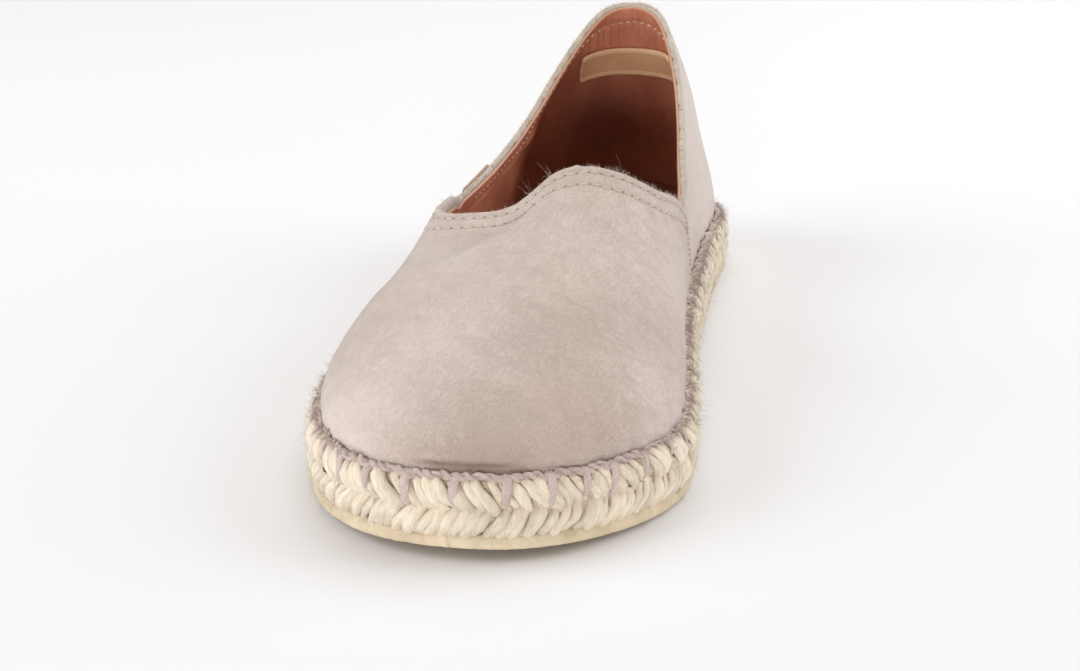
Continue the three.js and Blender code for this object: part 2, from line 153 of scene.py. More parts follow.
@dataclass(frozen=True)
class Last:
    """The foot shape that the whole shoe is built on, with the outline of its sole."""

    length: float = 262.0
    tread: float = 3.0
    sole: float = 15.4
    gap: float = 0.3
    centre_x: float = 1.9
    feather: float = 3.0
    toe_share: float = 0.3
    toe_fullness: float = 2.35
    heel_share: float = 0.14
    heel_fullness: float = 2.2
    toe_walk: float = 0.2
    heel_walk: float = 0.14
    swing: tuple[float, float] = (-1.5, 0.45)
    toe_spring: tuple[float, float] = (3.0, 0.22)
    waist_lift: tuple[float, float, float] = (0.8, 0.4, 0.32)
    heel_lift: tuple[float, float] = (0.8, 0.07)
    ridge_reach: tuple[float, float, float] = (0.04, 0.97, 0.34)
    ridge_rounding: float = 0.14
    side_bulge: tuple[float, float] = (0.5, 52.0)
    slack_depth: float = 6.0
    slack_place: tuple[float, float] = (0.415, 64.0)
    slack_size: tuple[float, float, float] = (0.075, 21.0, 22.0)
    outer: SizeCurve = SizeCurve(OUTLINE_AT, (44.4, 46.6, 47.4, 47.0, 42.6, 37.4, 34.6, 36.0, 36.0))
    inner: SizeCurve = SizeCurve(OUTLINE_AT, (42.0, 47.0, 43.0, 39.2, 36.0, 35.0, 34.2, 35.0, 34.4))
    ridge_x: SizeCurve = SizeCurve(RIDGE_AT, (5.0, 7.0, 8.3, 8.5, 7.5, 5.5, 3.5))
    ridge_z: SizeCurve = SizeCurve(RIDGE_AT, (34.0, 43.5, 55.0, 68.5, 82.5, 91.5, 97.6))
    fullness_side: SizeCurve = SizeCurve(RIDGE_AT, (1.9, 1.62, 1.46, 1.4, 1.22, 0.91, 0.66))
    fullness_crown: SizeCurve = SizeCurve(RIDGE_AT, (2.1, 2.1, 2.0, 1.95, 1.9, 1.85, 1.8))
    collar_outer: SizeCurve = SizeCurve(COLLAR_AT, (38.2, 40.4, 47.2, 57.5, 69.0, 75.0, 78.4))
    collar_inner: SizeCurve = SizeCurve(COLLAR_AT, (37.6, 39.8, 46.9, 57.3, 69.0, 75.0, 78.4))

    def along(self, w: Array | float) -> Array:
        """Place along the shoe for a walk w round one side, slow at both round ends.

        Args:
            w: Walks round one side, 0 at the toe and 1 at the heel.

        Returns:
            Places along the shoe, 0 at the toe and 1 at the heel.
        """
        w = np.asarray(w, float)
        toe_turn = np.cos(np.clip(w / self.toe_walk, 0, 1) * np.pi / 2)
        heel_turn = np.cos(np.clip((1 - w) / self.heel_walk, 0, 1) * np.pi / 2)
        toe = self.toe_share * (1 - np.abs(toe_turn) ** (2 / self.toe_fullness))
        heel = 1 - self.heel_share * (1 - np.abs(heel_turn) ** (2 / self.heel_fullness))
        share = (w - self.toe_walk) / (1 - self.heel_walk - self.toe_walk)
        middle = self.toe_share + (1 - self.heel_share - self.toe_share) * share
        return np.where(w < self.toe_walk, toe, np.where(w > 1 - self.heel_walk, heel, middle))

    def walk(self, t: Array | float) -> Array:
        """The walk that reaches a place along the shoe."""
        w = np.linspace(0.0, 1.0, 20001)
        return np.interp(t, self.along(w), w)

    def outline(self, w: Array, side: Array | int) -> Array:
        """Widest outline of the rope sole; a walk past either end goes on along the other side.

        Args:
            w: Walks round one side, 0 at the toe and 1 at the heel.
            side: The side of each walk.

        Returns:
            Level points, X and Y in the last dimension.
        """
        w = np.asarray(w, float)
        folded = np.where(w < 0, -w, np.where(w > 1, 2 - w, w))
        way = np.where((w < 0) | (w > 1), -np.asarray(side), side)
        t = self.along(folded)
        toe = np.clip(1 - t / self.toe_share, 0, 1) ** self.toe_fullness
        heel = np.clip(1 - (1 - t) / self.heel_share, 0, 1) ** self.heel_fullness
        half = np.where(way > 0, self.inner(t), self.outer(t))
        half = half * (1 - toe) ** (1 / self.toe_fullness) * (1 - heel) ** (1 / self.heel_fullness)
        offset, share = self.swing
        shift = offset * np.clip(1 - t / share, 0, 1) ** 2
        return np.stack([way * half + shift, (t - 0.5) * self.length], -1)

    def outward(self, w: Array, side: Array | int) -> Array:
        """Level normal of the outline, pointing away from the shoe.

        Args:
            w: Walks round one side, 0 at the toe and 1 at the heel.
            side: The side of each walk.

        Returns:
            Level unit vectors.
        """
        w = np.asarray(w, float)
        step = 2e-3
        way = self.outline(w + step, side) - self.outline(w - step, side)
        normal = np.stack([way[..., 1], -way[..., 0]], -1) * np.asarray(side)[..., None]
        return unit(normal)

    def lift(self, y: Array) -> Array:
        """How far the shoe is off the floor at a place along it.

        Args:
            y: Places along the shoe in millimetres.

        Returns:
            Heights in millimetres.
        """
        t = y / self.length + 0.5
        toe = np.clip(1 - t / self.toe_spring[1], 0, 1)
        waist = np.sin(np.pi * np.clip((t - self.waist_lift[1]) / self.waist_lift[2], 0, 1))
        heel = np.clip(1 - (1 - t) / self.heel_lift[1], 0, 1)
        return self.toe_spring[0] * toe**2 + self.waist_lift[0] * waist**2 + self.heel_lift[0] * heel**2

    def ridge_place(self, w: Array) -> Array:
        """Place of the ridge point that belongs to a walk, as a share of the length.

        Args:
            w: Walks round one side, 0 at the toe and 1 at the heel.

        Returns:
            Shares of the shoe's length.
        """
        start, end, soft = self.ridge_reach
        x = np.clip((self.along(w) - start) / (end - start), 0, 1)
        slope = 1 / (1 - soft)
        low = slope * x**2 / (2 * soft)
        high = 1 - slope * (1 - x) ** 2 / (2 * soft)
        ramp = np.where(x < soft, low, np.where(x > 1 - soft, high, slope * (x - soft / 2)))
        return RIDGE_AT[0] + (RIDGE_AT[-1] - RIDGE_AT[0]) * ramp

    def surface(self, w: Array, side: Array | int, angle: Array) -> Array:
        """Points of the last: angle 0 is the feather line on the sole and 90 is the ridge.

        Args:
            w: Walks round one side.
            side: The side of each point.
            angle: Angles up the side in degrees.

        Returns:
            Points in millimetres.
        """
        w, side, angle = np.broadcast_arrays(np.asarray(w, float), side, np.asarray(angle, float))
        theta = np.radians(angle)
        t = self.ridge_place(w)
        before = np.clip(t - 1e-3, RIDGE_AT[0], RIDGE_AT[-1])
        after = np.clip(t + 1e-3, RIDGE_AT[0], RIDGE_AT[-1])
        slope = (self.ridge_z(after) - self.ridge_z(before)) / ((after - before) * self.length)
        ridge = np.stack([self.ridge_x(t), (t - 0.5) * self.length], -1)
        foot = self.outline(w, side) - self.outward(w, side) * self.feather
        spread = foot - ridge
        r = self.ridge_rounding
        scale = np.sqrt(1 + r * r) - r
        plain = np.maximum(np.cos(theta), 0) ** (2 / self.fullness_side(t))
        out = np.sqrt(np.maximum((plain * scale + r) ** 2 - r * r, 0))
        up = np.sin(theta) ** (2 / self.fullness_crown(t))
        bulge = self.side_bulge[0] * np.sin(np.pi * np.clip(angle / self.side_bulge[1], 0, 1))
        place = ridge + spread * out[..., None] + unit(spread) * bulge[..., None]
        tilt = slope * (place[..., 1] - ridge[..., 1]) * np.sin(theta) ** 2
        z = self.sole + self.gap + (self.ridge_z(t) - self.sole) * up + tilt
        z = z - self.slack(w, side, angle) + self.lift(place[..., 1])
        return np.stack([place[..., 0] + self.centre_x, place[..., 1], z], -1)

    def slack(self, w: Array, side: Array, angle: Array) -> Array:
        """Depth of the slack hollow in the outer side of the vamp.

        Args:
            w: Walks round one side, 0 at the toe and 1 at the heel.
            side: The side of each walk.
            angle: Angles up the cross sections in degrees.

        Returns:
            Depths in millimetres.
        """
        reach, spread, soft = self.slack_size
        far = ((self.along(w) - self.slack_place[0]) / reach) ** 2
        far = far + ((angle - self.slack_place[1]) / spread) ** 2
        fade = ease((90 - angle) / soft)
        return np.where(side > 0, 0.0, self.slack_depth * np.exp(-far) * fade)

    def angle_at(self, w: Array, side: int, height: Array) -> Array:
        """Angle at which each cross section reaches a height above the floor.

        Args:
            w: Walks round one side, 0 at the toe and 1 at the heel.
            side: The side of the shoe.
            height: Heights above the floor.

        Returns:
            Angles in degrees.
        """
        low = np.zeros_like(np.asarray(w, float))
        high = np.full_like(low, 88.0)
        for _ in range(40):
            middle = (low + high) / 2
            below = self.surface(w, side, middle)[..., 2] < height
            low, high = np.where(below, middle, low), np.where(below, high, middle)
        return (low + high) / 2

    def collar(self, w: Array, side: int) -> Array:
        """Height of the topline at each walk."""
        curve = self.collar_inner if side > 0 else self.collar_outer
        return curve(self.along(w))


class Loop:
    """A walk round the whole sole by running length, from the toe along the inner side."""

    def __init__(self, last: Last, samples: int = 2400) -> None:
        """Measures the outline once.

        Args:
            last: The last to walk round.
            samples: Number of steps.
        """
        turn = np.arange(samples + 1) / samples * 2
        side = np.where(turn <= 1, 1, -1)
        w = np.where(turn <= 1, turn, 2 - turn)
        self.last = last
        self.points = last.outline(w, side)
        self.normals = last.outward(w, side)
        steps = np.linalg.norm(np.diff(self.points, axis=0), axis=1)
        self.at = np.concatenate([[0.0], np.cumsum(steps)])
        self.length = float(self.at[-1])

    def place(self, s: Array, height: Array, inset: Array) -> Array:
        """Points beside the sole.

        Args:
            s: Running lengths round the outline.
            height: Heights above the floor before the lift of the toe and heel.
            inset: Distances inside the widest outline.

        Returns:
            Points in millimetres.
        """
        s, height, inset = np.broadcast_arrays(s, height, inset)
        point, normal = self.level(s)
        flat = point - normal * inset[..., None]
        z = height + self.last.lift(flat[..., 1])
        return np.stack([flat[..., 0] + self.last.centre_x, flat[..., 1], z], -1)

    def level(self, s: Array) -> tuple[Array, Array]:
        """Outline point and level normal at running lengths.

        Args:
            s: Running lengths round the outline.

        Returns:
            Level points and unit vectors.
        """
        s = np.mod(s, self.length)
        point = np.stack([np.interp(s, self.at, self.points[:, k]) for k in (0, 1)], -1)
        normal = np.stack([np.interp(s, self.at, self.normals[:, k]) for k in (0, 1)], -1)
        return point, unit(normal)

    def out(self, s: Array) -> Array:
        """Outward directions in space at running lengths."""
        normal = self.level(s)[1]
        return np.concatenate([normal, np.zeros(normal.shape[:-1] + (1,))], -1)


@dataclass
class Draft:
    """Points and faces of a piece in millimetres, with values kept on its points."""

    points: Array
    faces: Array
    values: dict[str, Array] = field(default_factory=dict)

    @staticmethod
    def joined(drafts: Sequence[Draft]) -> Draft:
        """One draft out of several that hold the same values.

        Args:
            drafts: The drafts to join.

        Returns:
            The joined draft.
        """
        starts = np.cumsum([0] + [len(d.points) for d in drafts[:-1]])
        faces = np.concatenate([d.faces + start for d, start in zip(drafts, starts)])
        names = drafts[0].values.keys()
        values = {name: np.concatenate([d.values[name] for d in drafts]) for name in names}
        return Draft(np.concatenate([d.points for d in drafts]), faces, values)

    def mesh(self, name: str) -> bpy.types.Mesh:
        """A smooth mesh in metres with the values as point attributes.

        Args:
            name: The mesh's name.

        Returns:
            The mesh.
        """
        mesh = bpy.data.meshes.new(name)
        odd = (self.faces == np.roll(self.faces, 1, axis=1)).any(axis=1)
        faces = self.faces[~odd].tolist()
        for face in self.faces[odd].tolist():
            corners = list(dict.fromkeys(face))
            if len(corners) > 2:
                faces.append(corners)
        mesh.from_pydata((self.points * MM).tolist(), [], faces)
        for key, value in self.values.items():
            vector = value.ndim == 2
            kind = "FLOAT_VECTOR" if vector else "FLOAT"
            layer = mesh.attributes.new(key, kind, "POINT")
            layer.data.foreach_set("vector" if vector else "value", value.astype(np.float32).ravel())
        mesh.polygons.foreach_set("use_smooth", [True] * len(mesh.polygons))
        mesh.update()
        return mesh

    def piece(
        self, name: str, material: bpy.types.Material, slot: Slot, *replaced: str
    ) -> bpy.types.Object:
        """Makes the piece that rides on the shoe.

        Args:
            name: Plain name of the piece.
            material: Finish of the piece.
            slot: The record's slot that the finish stands for; not used.
            replaced: Nodes of the model that the piece stands for.

        Returns:
            The new object.
        """
        made = bpy.data.objects.new(name, self.mesh(name))
        bpy.context.scene.collection.objects.link(made)
        made.data.materials.append(material)
        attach(made, "root")
        if replaced:
            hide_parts(*replaced)
        LOG.info("%s: %d points, %d faces", name, len(self.points), len(self.faces))
        return made


@dataclass(frozen=True)
class EdgeLine:
    """The free edge of a sheet in order, with its normals and the directions off the edge."""

    points: Array
    normals: Array
    off: Array

    def distance(self, points: Array) -> Array:
        """Distance of each point from the edge.

        Args:
            points: Points on the sheet.

        Returns:
            Distances in millimetres.
        """
        far = np.full(len(points), np.inf)
        for point in self.points:
            far = np.minimum(far, ((points - point) ** 2).sum(-1))
        return np.sqrt(far)


@dataclass(frozen=True)
class Roll:
    """How a free edge is finished: rounded over, then tucked back inside."""

    steps: int = 8
    square: float = 2.0
    tuck: float = 3.0
    tuck_steps: int = 3


class Sheet:
    """An open sheet made of grids that share points, with faces turned outwards."""

    def __init__(self, grids: Sequence[tuple[Array, dict[str, Array], bool]]) -> None:
        """Joins grids.

        Args:
            grids: For each grid its points by column and row, its values, and whether its
                faces turn over.
        """
        points, faces, start = [], [], 0
        names = grids[0][1].keys()
        values: dict[str, list[Array]] = {name: [] for name in names}
        for place, extra, turned in grids:
            columns, rows = place.shape[:2]
            ids = np.arange(columns * rows).reshape(columns, rows) + start
            a, b, c, d = ids[:-1, :-1], ids[1:, :-1], ids[1:, 1:], ids[:-1, 1:]
            corners = (a, d, c, b) if turned else (a, b, c, d)
            faces.append(np.stack(corners, -1).reshape(-1, 4))
            points.append(place.reshape(-1, 3))
            for name in names:
                values[name].append(np.broadcast_to(extra[name], (columns, rows)).ravel())
            start += columns * rows
        every = np.concatenate(points)
        keys = np.round(every / WELD).astype(np.int64)
        _, first, back = np.unique(keys, axis=0, return_index=True, return_inverse=True)
        self.points = every[first]
        self.values = {name: np.concatenate(parts)[first] for name, parts in values.items()}
        welded = back.reshape(-1)[np.concatenate(faces)]
        distinct = np.array([len(set(face)) for face in welded.tolist()])
        self.faces = welded[distinct > 2]

    def normals(self) -> Array:
        """Normals at the points, weighted by area.

        Returns:
            Unit vectors, one a point.
        """
        p = self.points[self.faces]
        area = np.cross(p[:, 2] - p[:, 0], p[:, 3] - p[:, 1])
        total = np.zeros_like(self.points)
        for k in range(4):
            np.add.at(total, self.faces[:, k], area)
        return unit(total)

    def free_edges(self) -> Array:
        """Edges that only one face uses, in the direction of that face.

        Returns:
            Pairs of point numbers.
        """
        sides = [self.faces[:, [k, (k + 1) % 4]] for k in range(4)]
        pairs = np.concatenate(sides)
        pairs = pairs[pairs[:, 0] != pairs[:, 1]]
        count = len(self.points)
        there = pairs[:, 0] * count + pairs[:, 1]
        back = pairs[:, 1] * count + pairs[:, 0]
        return pairs[~np.isin(back, there)]

    def off_edge(self, normals: Array, edges: Array) -> Array:
        """Directions in the sheet that point off its free edge, zero elsewhere.

        Args:
            normals: Normals at the points.
            edges: The free edges.

        Returns:
            Unit vectors, one a point.
        """
        way = self.points[edges[:, 1]] - self.points[edges[:, 0]]
        away = unit(np.cross(way, normals[edges[:, 0]]))
        total = np.zeros_like(self.points)
        np.add.at(total, edges[:, 0], away)
        np.add.at(total, edges[:, 1], away)
        return unit(total)

    def edge_line(self, radius: Array) -> EdgeLine:
        """The finished free edge in order.

        Args:
            radius: Edge radius at every point, zero where the edge isn't finished.

        Returns:
            The longest run of that edge.
        """
        normals = self.normals()
        edges = self.free_edges()
        edges = edges[(radius[edges] > 0).all(axis=1)]
        off = self.off_edge(normals, edges)
        after = dict(edges.tolist())
        starts = set(after) - set(after.values()) or {next(iter(after))}
        best: list[int] = []
        for start in starts:
            run, here = [start], start
            while here in after and after[here] != start:
                here = after[here]
                run.append(here)
            best = run if len(run) > len(best) else best
        ids = np.array(best)
        return EdgeLine(self.points[ids], normals[ids], off[ids])

    def tree(self) -> BVHTree:
        """The sheet for finding the nearest place on it."""
        return BVHTree.FromPolygons(self.points.tolist(), self.faces.tolist())

    def finished(self, radius: Array, roll: Roll) -> Draft:
        """The sheet with its free edge rolled over and tucked in.

        Args:
            radius: Edge radius at every point, zero where the edge stays plain.
            roll: Shape of the rolled edge.

        Returns:
            A draft whose value named rim rises from 0 on the sheet to 1 over the roll.
        """
        normals = self.normals()
        edges = self.free_edges()
        edges = edges[(radius[edges] > 0).all(axis=1)]
        off = self.off_edge(normals, edges)
        used = np.unique(edges)
        place = np.full(len(self.points), -1)
        place[used] = np.arange(len(used))
        p, n, d, r = self.points[used], normals[used], off[used], radius[used][:, None]
        rows = []
        for step in range(1, roll.steps + 1):
            phi = np.pi * step / roll.steps
            c = np.sign(np.cos(phi)) * abs(np.cos(phi)) ** (2 / roll.square)
            s = abs(np.sin(phi)) ** (2 / roll.square)
            rows.append((p - n * r + n * r * c + d * r * s, step / roll.steps))
        for step in range(1, roll.tuck_steps + 1):
            rows.append((p - n * r * 2 - d * roll.tuck * step / roll.tuck_steps, 1.0))
        points, faces = [self.points], [self.faces]
        values = {name: [value] for name, value in self.values.items()}
        rims = [np.zeros(len(self.points))]
        before, count = np.arange(len(self.points)), len(self.points)
        for row, rim in rows:
            here = count + place
            a, b = edges[:, 0], edges[:, 1]
            faces.append(np.stack([before[b], before[a], here[a], here[b]], 1))
            points.append(row)
            rims.append(np.full(len(used), rim))
            for name, value in self.values.items():
                values[name].append(value[used])
            before, count = here, count + len(used)
        joined = {name: np.concatenate(parts) for name, parts in values.items()}
        joined["rim"] = np.concatenate(rims)
        return Draft(np.concatenate(points), np.concatenate(faces), joined)


@dataclass(frozen=True)
class Yarn:
    """Round or flattened yarn laid along centre lines."""

    around: int = 10
    twist: float = 0.5
    plies: int = 0
    ply_depth: float = 0.12

    def lay(self, centre: Array, out: Array, wide: Array, thick: Array, rng: np.random.Generator) -> Draft:
        """Tubes along centre lines.

        Args:
            centre: Centre points by tube and station.
            out: Directions out of the surface that carries the tubes, by tube and station.
            wide: Half widths along the surface.
            thick: Half thicknesses out of the surface.
            rng: Source of each tube's own tone.

        Returns:
            A draft with the values fibre, the place in the untwisted yarn, and tone.
        """
        tubes, stations = centre.shape[:2]
        along = unit(np.gradient(centre, axis=1))
        across = unit(np.cross(along, out))
        lifted = unit(np.cross(across, along))
        wide = np.broadcast_to(wide, (tubes, stations))
        thick = np.broadcast_to(thick, (tubes, stations))
        steps = np.linalg.norm(np.diff(centre, axis=1), axis=-1)
        run = np.concatenate([np.zeros((tubes, 1)), np.cumsum(steps, axis=1)], axis=1)
        turn = np.arange(self.around) / self.around * 2 * np.pi
        lay = turn[None, None, :] + run[..., None] * self.twist
        swell = 1 + self.ply_depth * (np.abs(np.cos(lay * self.plies / 2)) - 0.6) if self.plies else 1.0
        x = np.cos(turn) * wide[..., None] * swell
        y = np.sin(turn) * thick[..., None] * swell
        points = centre[:, :, None] + across[:, :, None] * x[..., None] + lifted[:, :, None] * y[..., None]
        start = rng.uniform(0, 400, (tubes, 1, 1))
        size = np.maximum(wide, thick)[..., None]
        where = np.broadcast_to(run[..., None] + start, lay.shape)
        fibre = np.stack([np.cos(lay) * size, np.sin(lay) * size, where], -1)
        tone = np.broadcast_to(rng.uniform(0, 1, (tubes, 1, 1)), lay.shape)
        ids = np.arange(tubes * stations * self.around).reshape(tubes, stations, self.around)
        ahead = np.roll(ids, -1, axis=2)
        faces = np.stack([ids[:, :-1], ahead[:, :-1], ahead[:, 1:], ids[:, 1:]], -1).reshape(-1, 4)
        values = {"fibre": fibre.reshape(-1, 3), "tone": tone.ravel()}
        return Draft(points.reshape(-1, 3), faces, values)


@dataclass(frozen=True)
class Fluff:
    """Loose fibres that stand off a surface."""

    count: int
    length: tuple[float, float]
    radius: tuple[float, float]
    curl: float
    seed: int
    stations: int = 6
    spread: float = 0.45
    ground: float = 0.08

    def grow(self, roots: Array, ways: Array) -> Draft:
        """Curved hairs.

        Args:
            roots: Places to grow from; the hairs are shared out over them at random.
            ways: Directions of growth at those places.

        Returns:
            A draft of thin three-sided tubes.
        """
        rng = np.random.default_rng(self.seed)
        pick = rng.integers(0, len(roots), self.count)
        length = rng.uniform(*self.length, (self.count, 1, 1))
        radius = rng.uniform(*self.radius, (self.count, 1))
        way = unit(ways[pick] + rng.normal(0, self.spread, (self.count, 3)))
        bend = unit(rng.normal(0, 1, (self.count, 3)))
        s = np.linspace(0, 1, self.stations)[None, :, None]
        sway = bend[:, None] * s**2 + np.roll(bend, 1, axis=1)[:, None] * np.sin(s * 4) * 0.25
        centre = roots[pick][:, None] + (way[:, None] * s + sway * self.curl) * length
        centre[..., 2] = np.maximum(centre[..., 2], self.ground)
        taper = radius * (1 - 0.75 * np.linspace(0, 1, self.stations)[None])
        out = np.broadcast_to(unit(np.cross(way, bend))[:, None], centre.shape)
        return Yarn(around=3, twist=0.0).lay(centre, out, taper, taper, rng)


@dataclass(frozen=True)
class Stitching:
    """A row of thread along an edge."""

    inset: float
    pitch: float = 2.6
    length: float = 1.9
    radius: float = 0.26
    sink: float = 0.1
    start: float = 0.0
    end: float = 0.0
    seed: int = 3

    def path(self, edge: EdgeLine, tree: BVHTree) -> tuple[Array, Array]:
        """Points and normals of the row on the sheet, along the whole edge.

        Args:
            edge: The edge that the row follows.
            tree: The sheet that is sewn.

        Returns:
            Points and unit normals.
        """
        places, normals = [], []
        for point in edge.points - edge.off * self.inset:
            hit, normal, _, _ = tree.find_nearest(Vector(point))
            places.append(hit)
            normals.append(normal)
        return np.array(places, float), unit(np.array(normals, float))

    def sew(self, edge: EdgeLine, tree: BVHTree) -> Draft:
        """The row's stitches, each a short thread that dips into the sheet at both ends.

        Args:
            edge: The edge that the row follows.
            tree: The sheet that is sewn.

        Returns:
            A draft of all stitches.
        """
        places, normals = self.path(edge, tree)
        run = np.concatenate([[0.0], np.cumsum(np.linalg.norm(np.diff(places, axis=0), axis=1))])
        count = int((run[-1] - self.start - self.end) / self.pitch)
        rng = np.random.default_rng(self.seed)
        starts = self.start + np.arange(count) * self.pitch + rng.normal(0, 0.08, count)
        s = starts[:, None] + np.linspace(0, self.length, 7)[None]
        centre = np.stack([np.interp(s, run, places[:, k]) for k in range(3)], -1)
        out = unit(np.stack([np.interp(s, run, normals[:, k]) for k in range(3)], -1))
        arch = np.sin(np.linspace(0, np.pi, 7)) ** 0.6
        height = -self.sink + (self.radius * 0.75 + self.sink) * arch
        centre = centre + out * height[None, :, None]
        radius = self.radius * (0.35 + 0.65 * arch)[None]
        yarn = Yarn(around=8, twist=2.6, plies=2, ply_depth=0.25)
        return yarn.lay(centre, out, radius, radius, rng)


@dataclass(frozen=True)
class Fold:
    """A crease given as a line on the upper, with its depth and half width."""

    path: tuple[Place, ...]
    depth: float
    width: float

    def height(self, points: Array) -> Array:
        """How far the crease moves each point out of the surface.

        Args:
            points: Points on the upper.

        Returns:
            Moves in millimetres, outwards where positive.
        """
        best = np.full(len(points), np.inf)
        share = np.zeros(len(points))
        path = np.array(self.path)
        for k, (start, end) in enumerate(zip(path[:-1], path[1:])):
            way = end - start
            s = np.clip((points - start) @ way / (way @ way), 0, 1)
            far = np.linalg.norm(points - start - s[:, None] * way, axis=1)
            share = np.where(far < best, (k + s) / (len(path) - 1), share)
            best = np.minimum(best, far)
        fade = np.sin(np.pi * np.clip(share, 0.02, 0.98)) ** 0.7
        return self.depth * np.exp(-((best / self.width) ** 2)) * fade


@dataclass(frozen=True)
class NapAndPaintedLightPatch:
    """A soft patch that lightens or darkens a surface: on the suede partly nap that lies another way and
    partly painted light and shade, in the lining painted shade.
    """

    place: Place
    reach: float
    amount: float

    def shade(self, points: Array) -> Array:
        """Change of shade at each point."""
        far = np.linalg.norm(points - np.array(self.place), axis=1)
        return self.amount * np.exp(-((far / self.reach) ** 2))


class Tree:
    """Places and links nodes in one node tree."""

    def __init__(self, tree: NodeGroup) -> None:
        """Starts on a tree."""
        self.tree = tree

    def add(self, kind: str, inputs: dict[str | int, Any] | None = None, **settings: Any) -> Node:
        """Places a node.

        Args:
            kind: The node's type without the ShaderNode in front.
            inputs: Sockets or plain values by input name or number.
            settings: The node's own settings.

        Returns:
            The node.
        """
        node = self.tree.nodes.new(kind if kind.startswith("NodeGroup") else "ShaderNode" + kind)
        for name, value in settings.items():
            setattr(node, name, value)
        for key, value in (inputs or {}).items():
            if isinstance(value, Socket):
                self.tree.links.new(value, node.inputs[key])
            else:
                node.inputs[key].default_value = value
        return node

    def math(self, operation: str, a: Any, b: Any = 0.0, clamp: bool = False) -> Socket:
        """A sum of two values."""
        return self.add("Math", {0: a, 1: b}, operation=operation, use_clamp=clamp).outputs[0]

    def noise(self, vector: Any, scale: Any, detail: float = 3.0, rough: float = 0.55) -> Socket:
        """Noise from 0 to 1."""
        inputs = {"Vector": vector, "Scale": scale, "Detail": detail, "Roughness": rough}
        return self.add("TexNoise", inputs).outputs["Fac"]

    def scaled(self, vector: Any, by: tuple[float, float, float]) -> Socket:
        """A vector with each part scaled."""
        return self.add("VectorMath", {0: vector, 1: by}, operation="MULTIPLY").outputs[0]

    def span(self, value: Any, low: float, high: float, to_low: float = 0.0, to_high: float = 1.0) -> Socket:
        """A value moved from one range to another and held inside it."""
        inputs = {"Value": value, "From Min": low, "From Max": high, "To Min": to_low, "To Max": to_high}
        return self.add("MapRange", inputs).outputs["Result"]

    def blend(self, share: Any, a: Any, b: Any, mode: str = "MIX") -> Socket:
        """Two colours mixed.

        Args:
            share: Share of the second colour.
            a: First colour.
            b: Second colour.
            mode: How they are mixed.

        Returns:
            The mixed colour.
        """
        a = (*a, 1.0) if isinstance(a, tuple) and len(a) == 3 else a
        b = (*b, 1.0) if isinstance(b, tuple) and len(b) == 3 else b
        node = self.add("Mix", {0: share, 6: a, 7: b}, data_type="RGBA", blend_type=mode)
        return node.outputs[2]

    def value(self, name: str, part: str = "Fac") -> Socket:
        """A value kept on the points of the piece."""
        return self.add("Attribute", attribute_name=name).outputs[part]

    def place(self) -> Socket:
        """The place on the piece in its own frame."""
        return self.add("TexCoord").outputs["Object"]

    def group(self, group: NodeGroup, inputs: dict[str, Any]) -> Node:
        """Places a shared effect.

        Args:
            group: The effect.
            inputs: Values or links by input.

        Returns:
            The effect's node.
        """
        node = self.tree.nodes.new("ShaderNodeGroup")
        node.node_tree = group
        for key, value in inputs.items():
            if isinstance(value, Socket):
                self.tree.links.new(value, node.inputs[key])
            else:
                node.inputs[key].default_value = value
        return node

    def bump(self, height: Any, distance: float, strength: float = 1.0, normal: Any = None) -> Socket:
        """A normal from a height in millimetres' worth of relief.

        Args:
            height: The relief.
            distance: Its height in millimetres.
            strength: Share of it that shows.
            normal: A normal to build on.

        Returns:
            The normal.
        """
        inputs = {"Height": height, "Distance": distance * MM, "Strength": strength}
        if normal is not None:
            inputs["Normal"] = normal
        return self.add("Bump", inputs).outputs["Normal"]


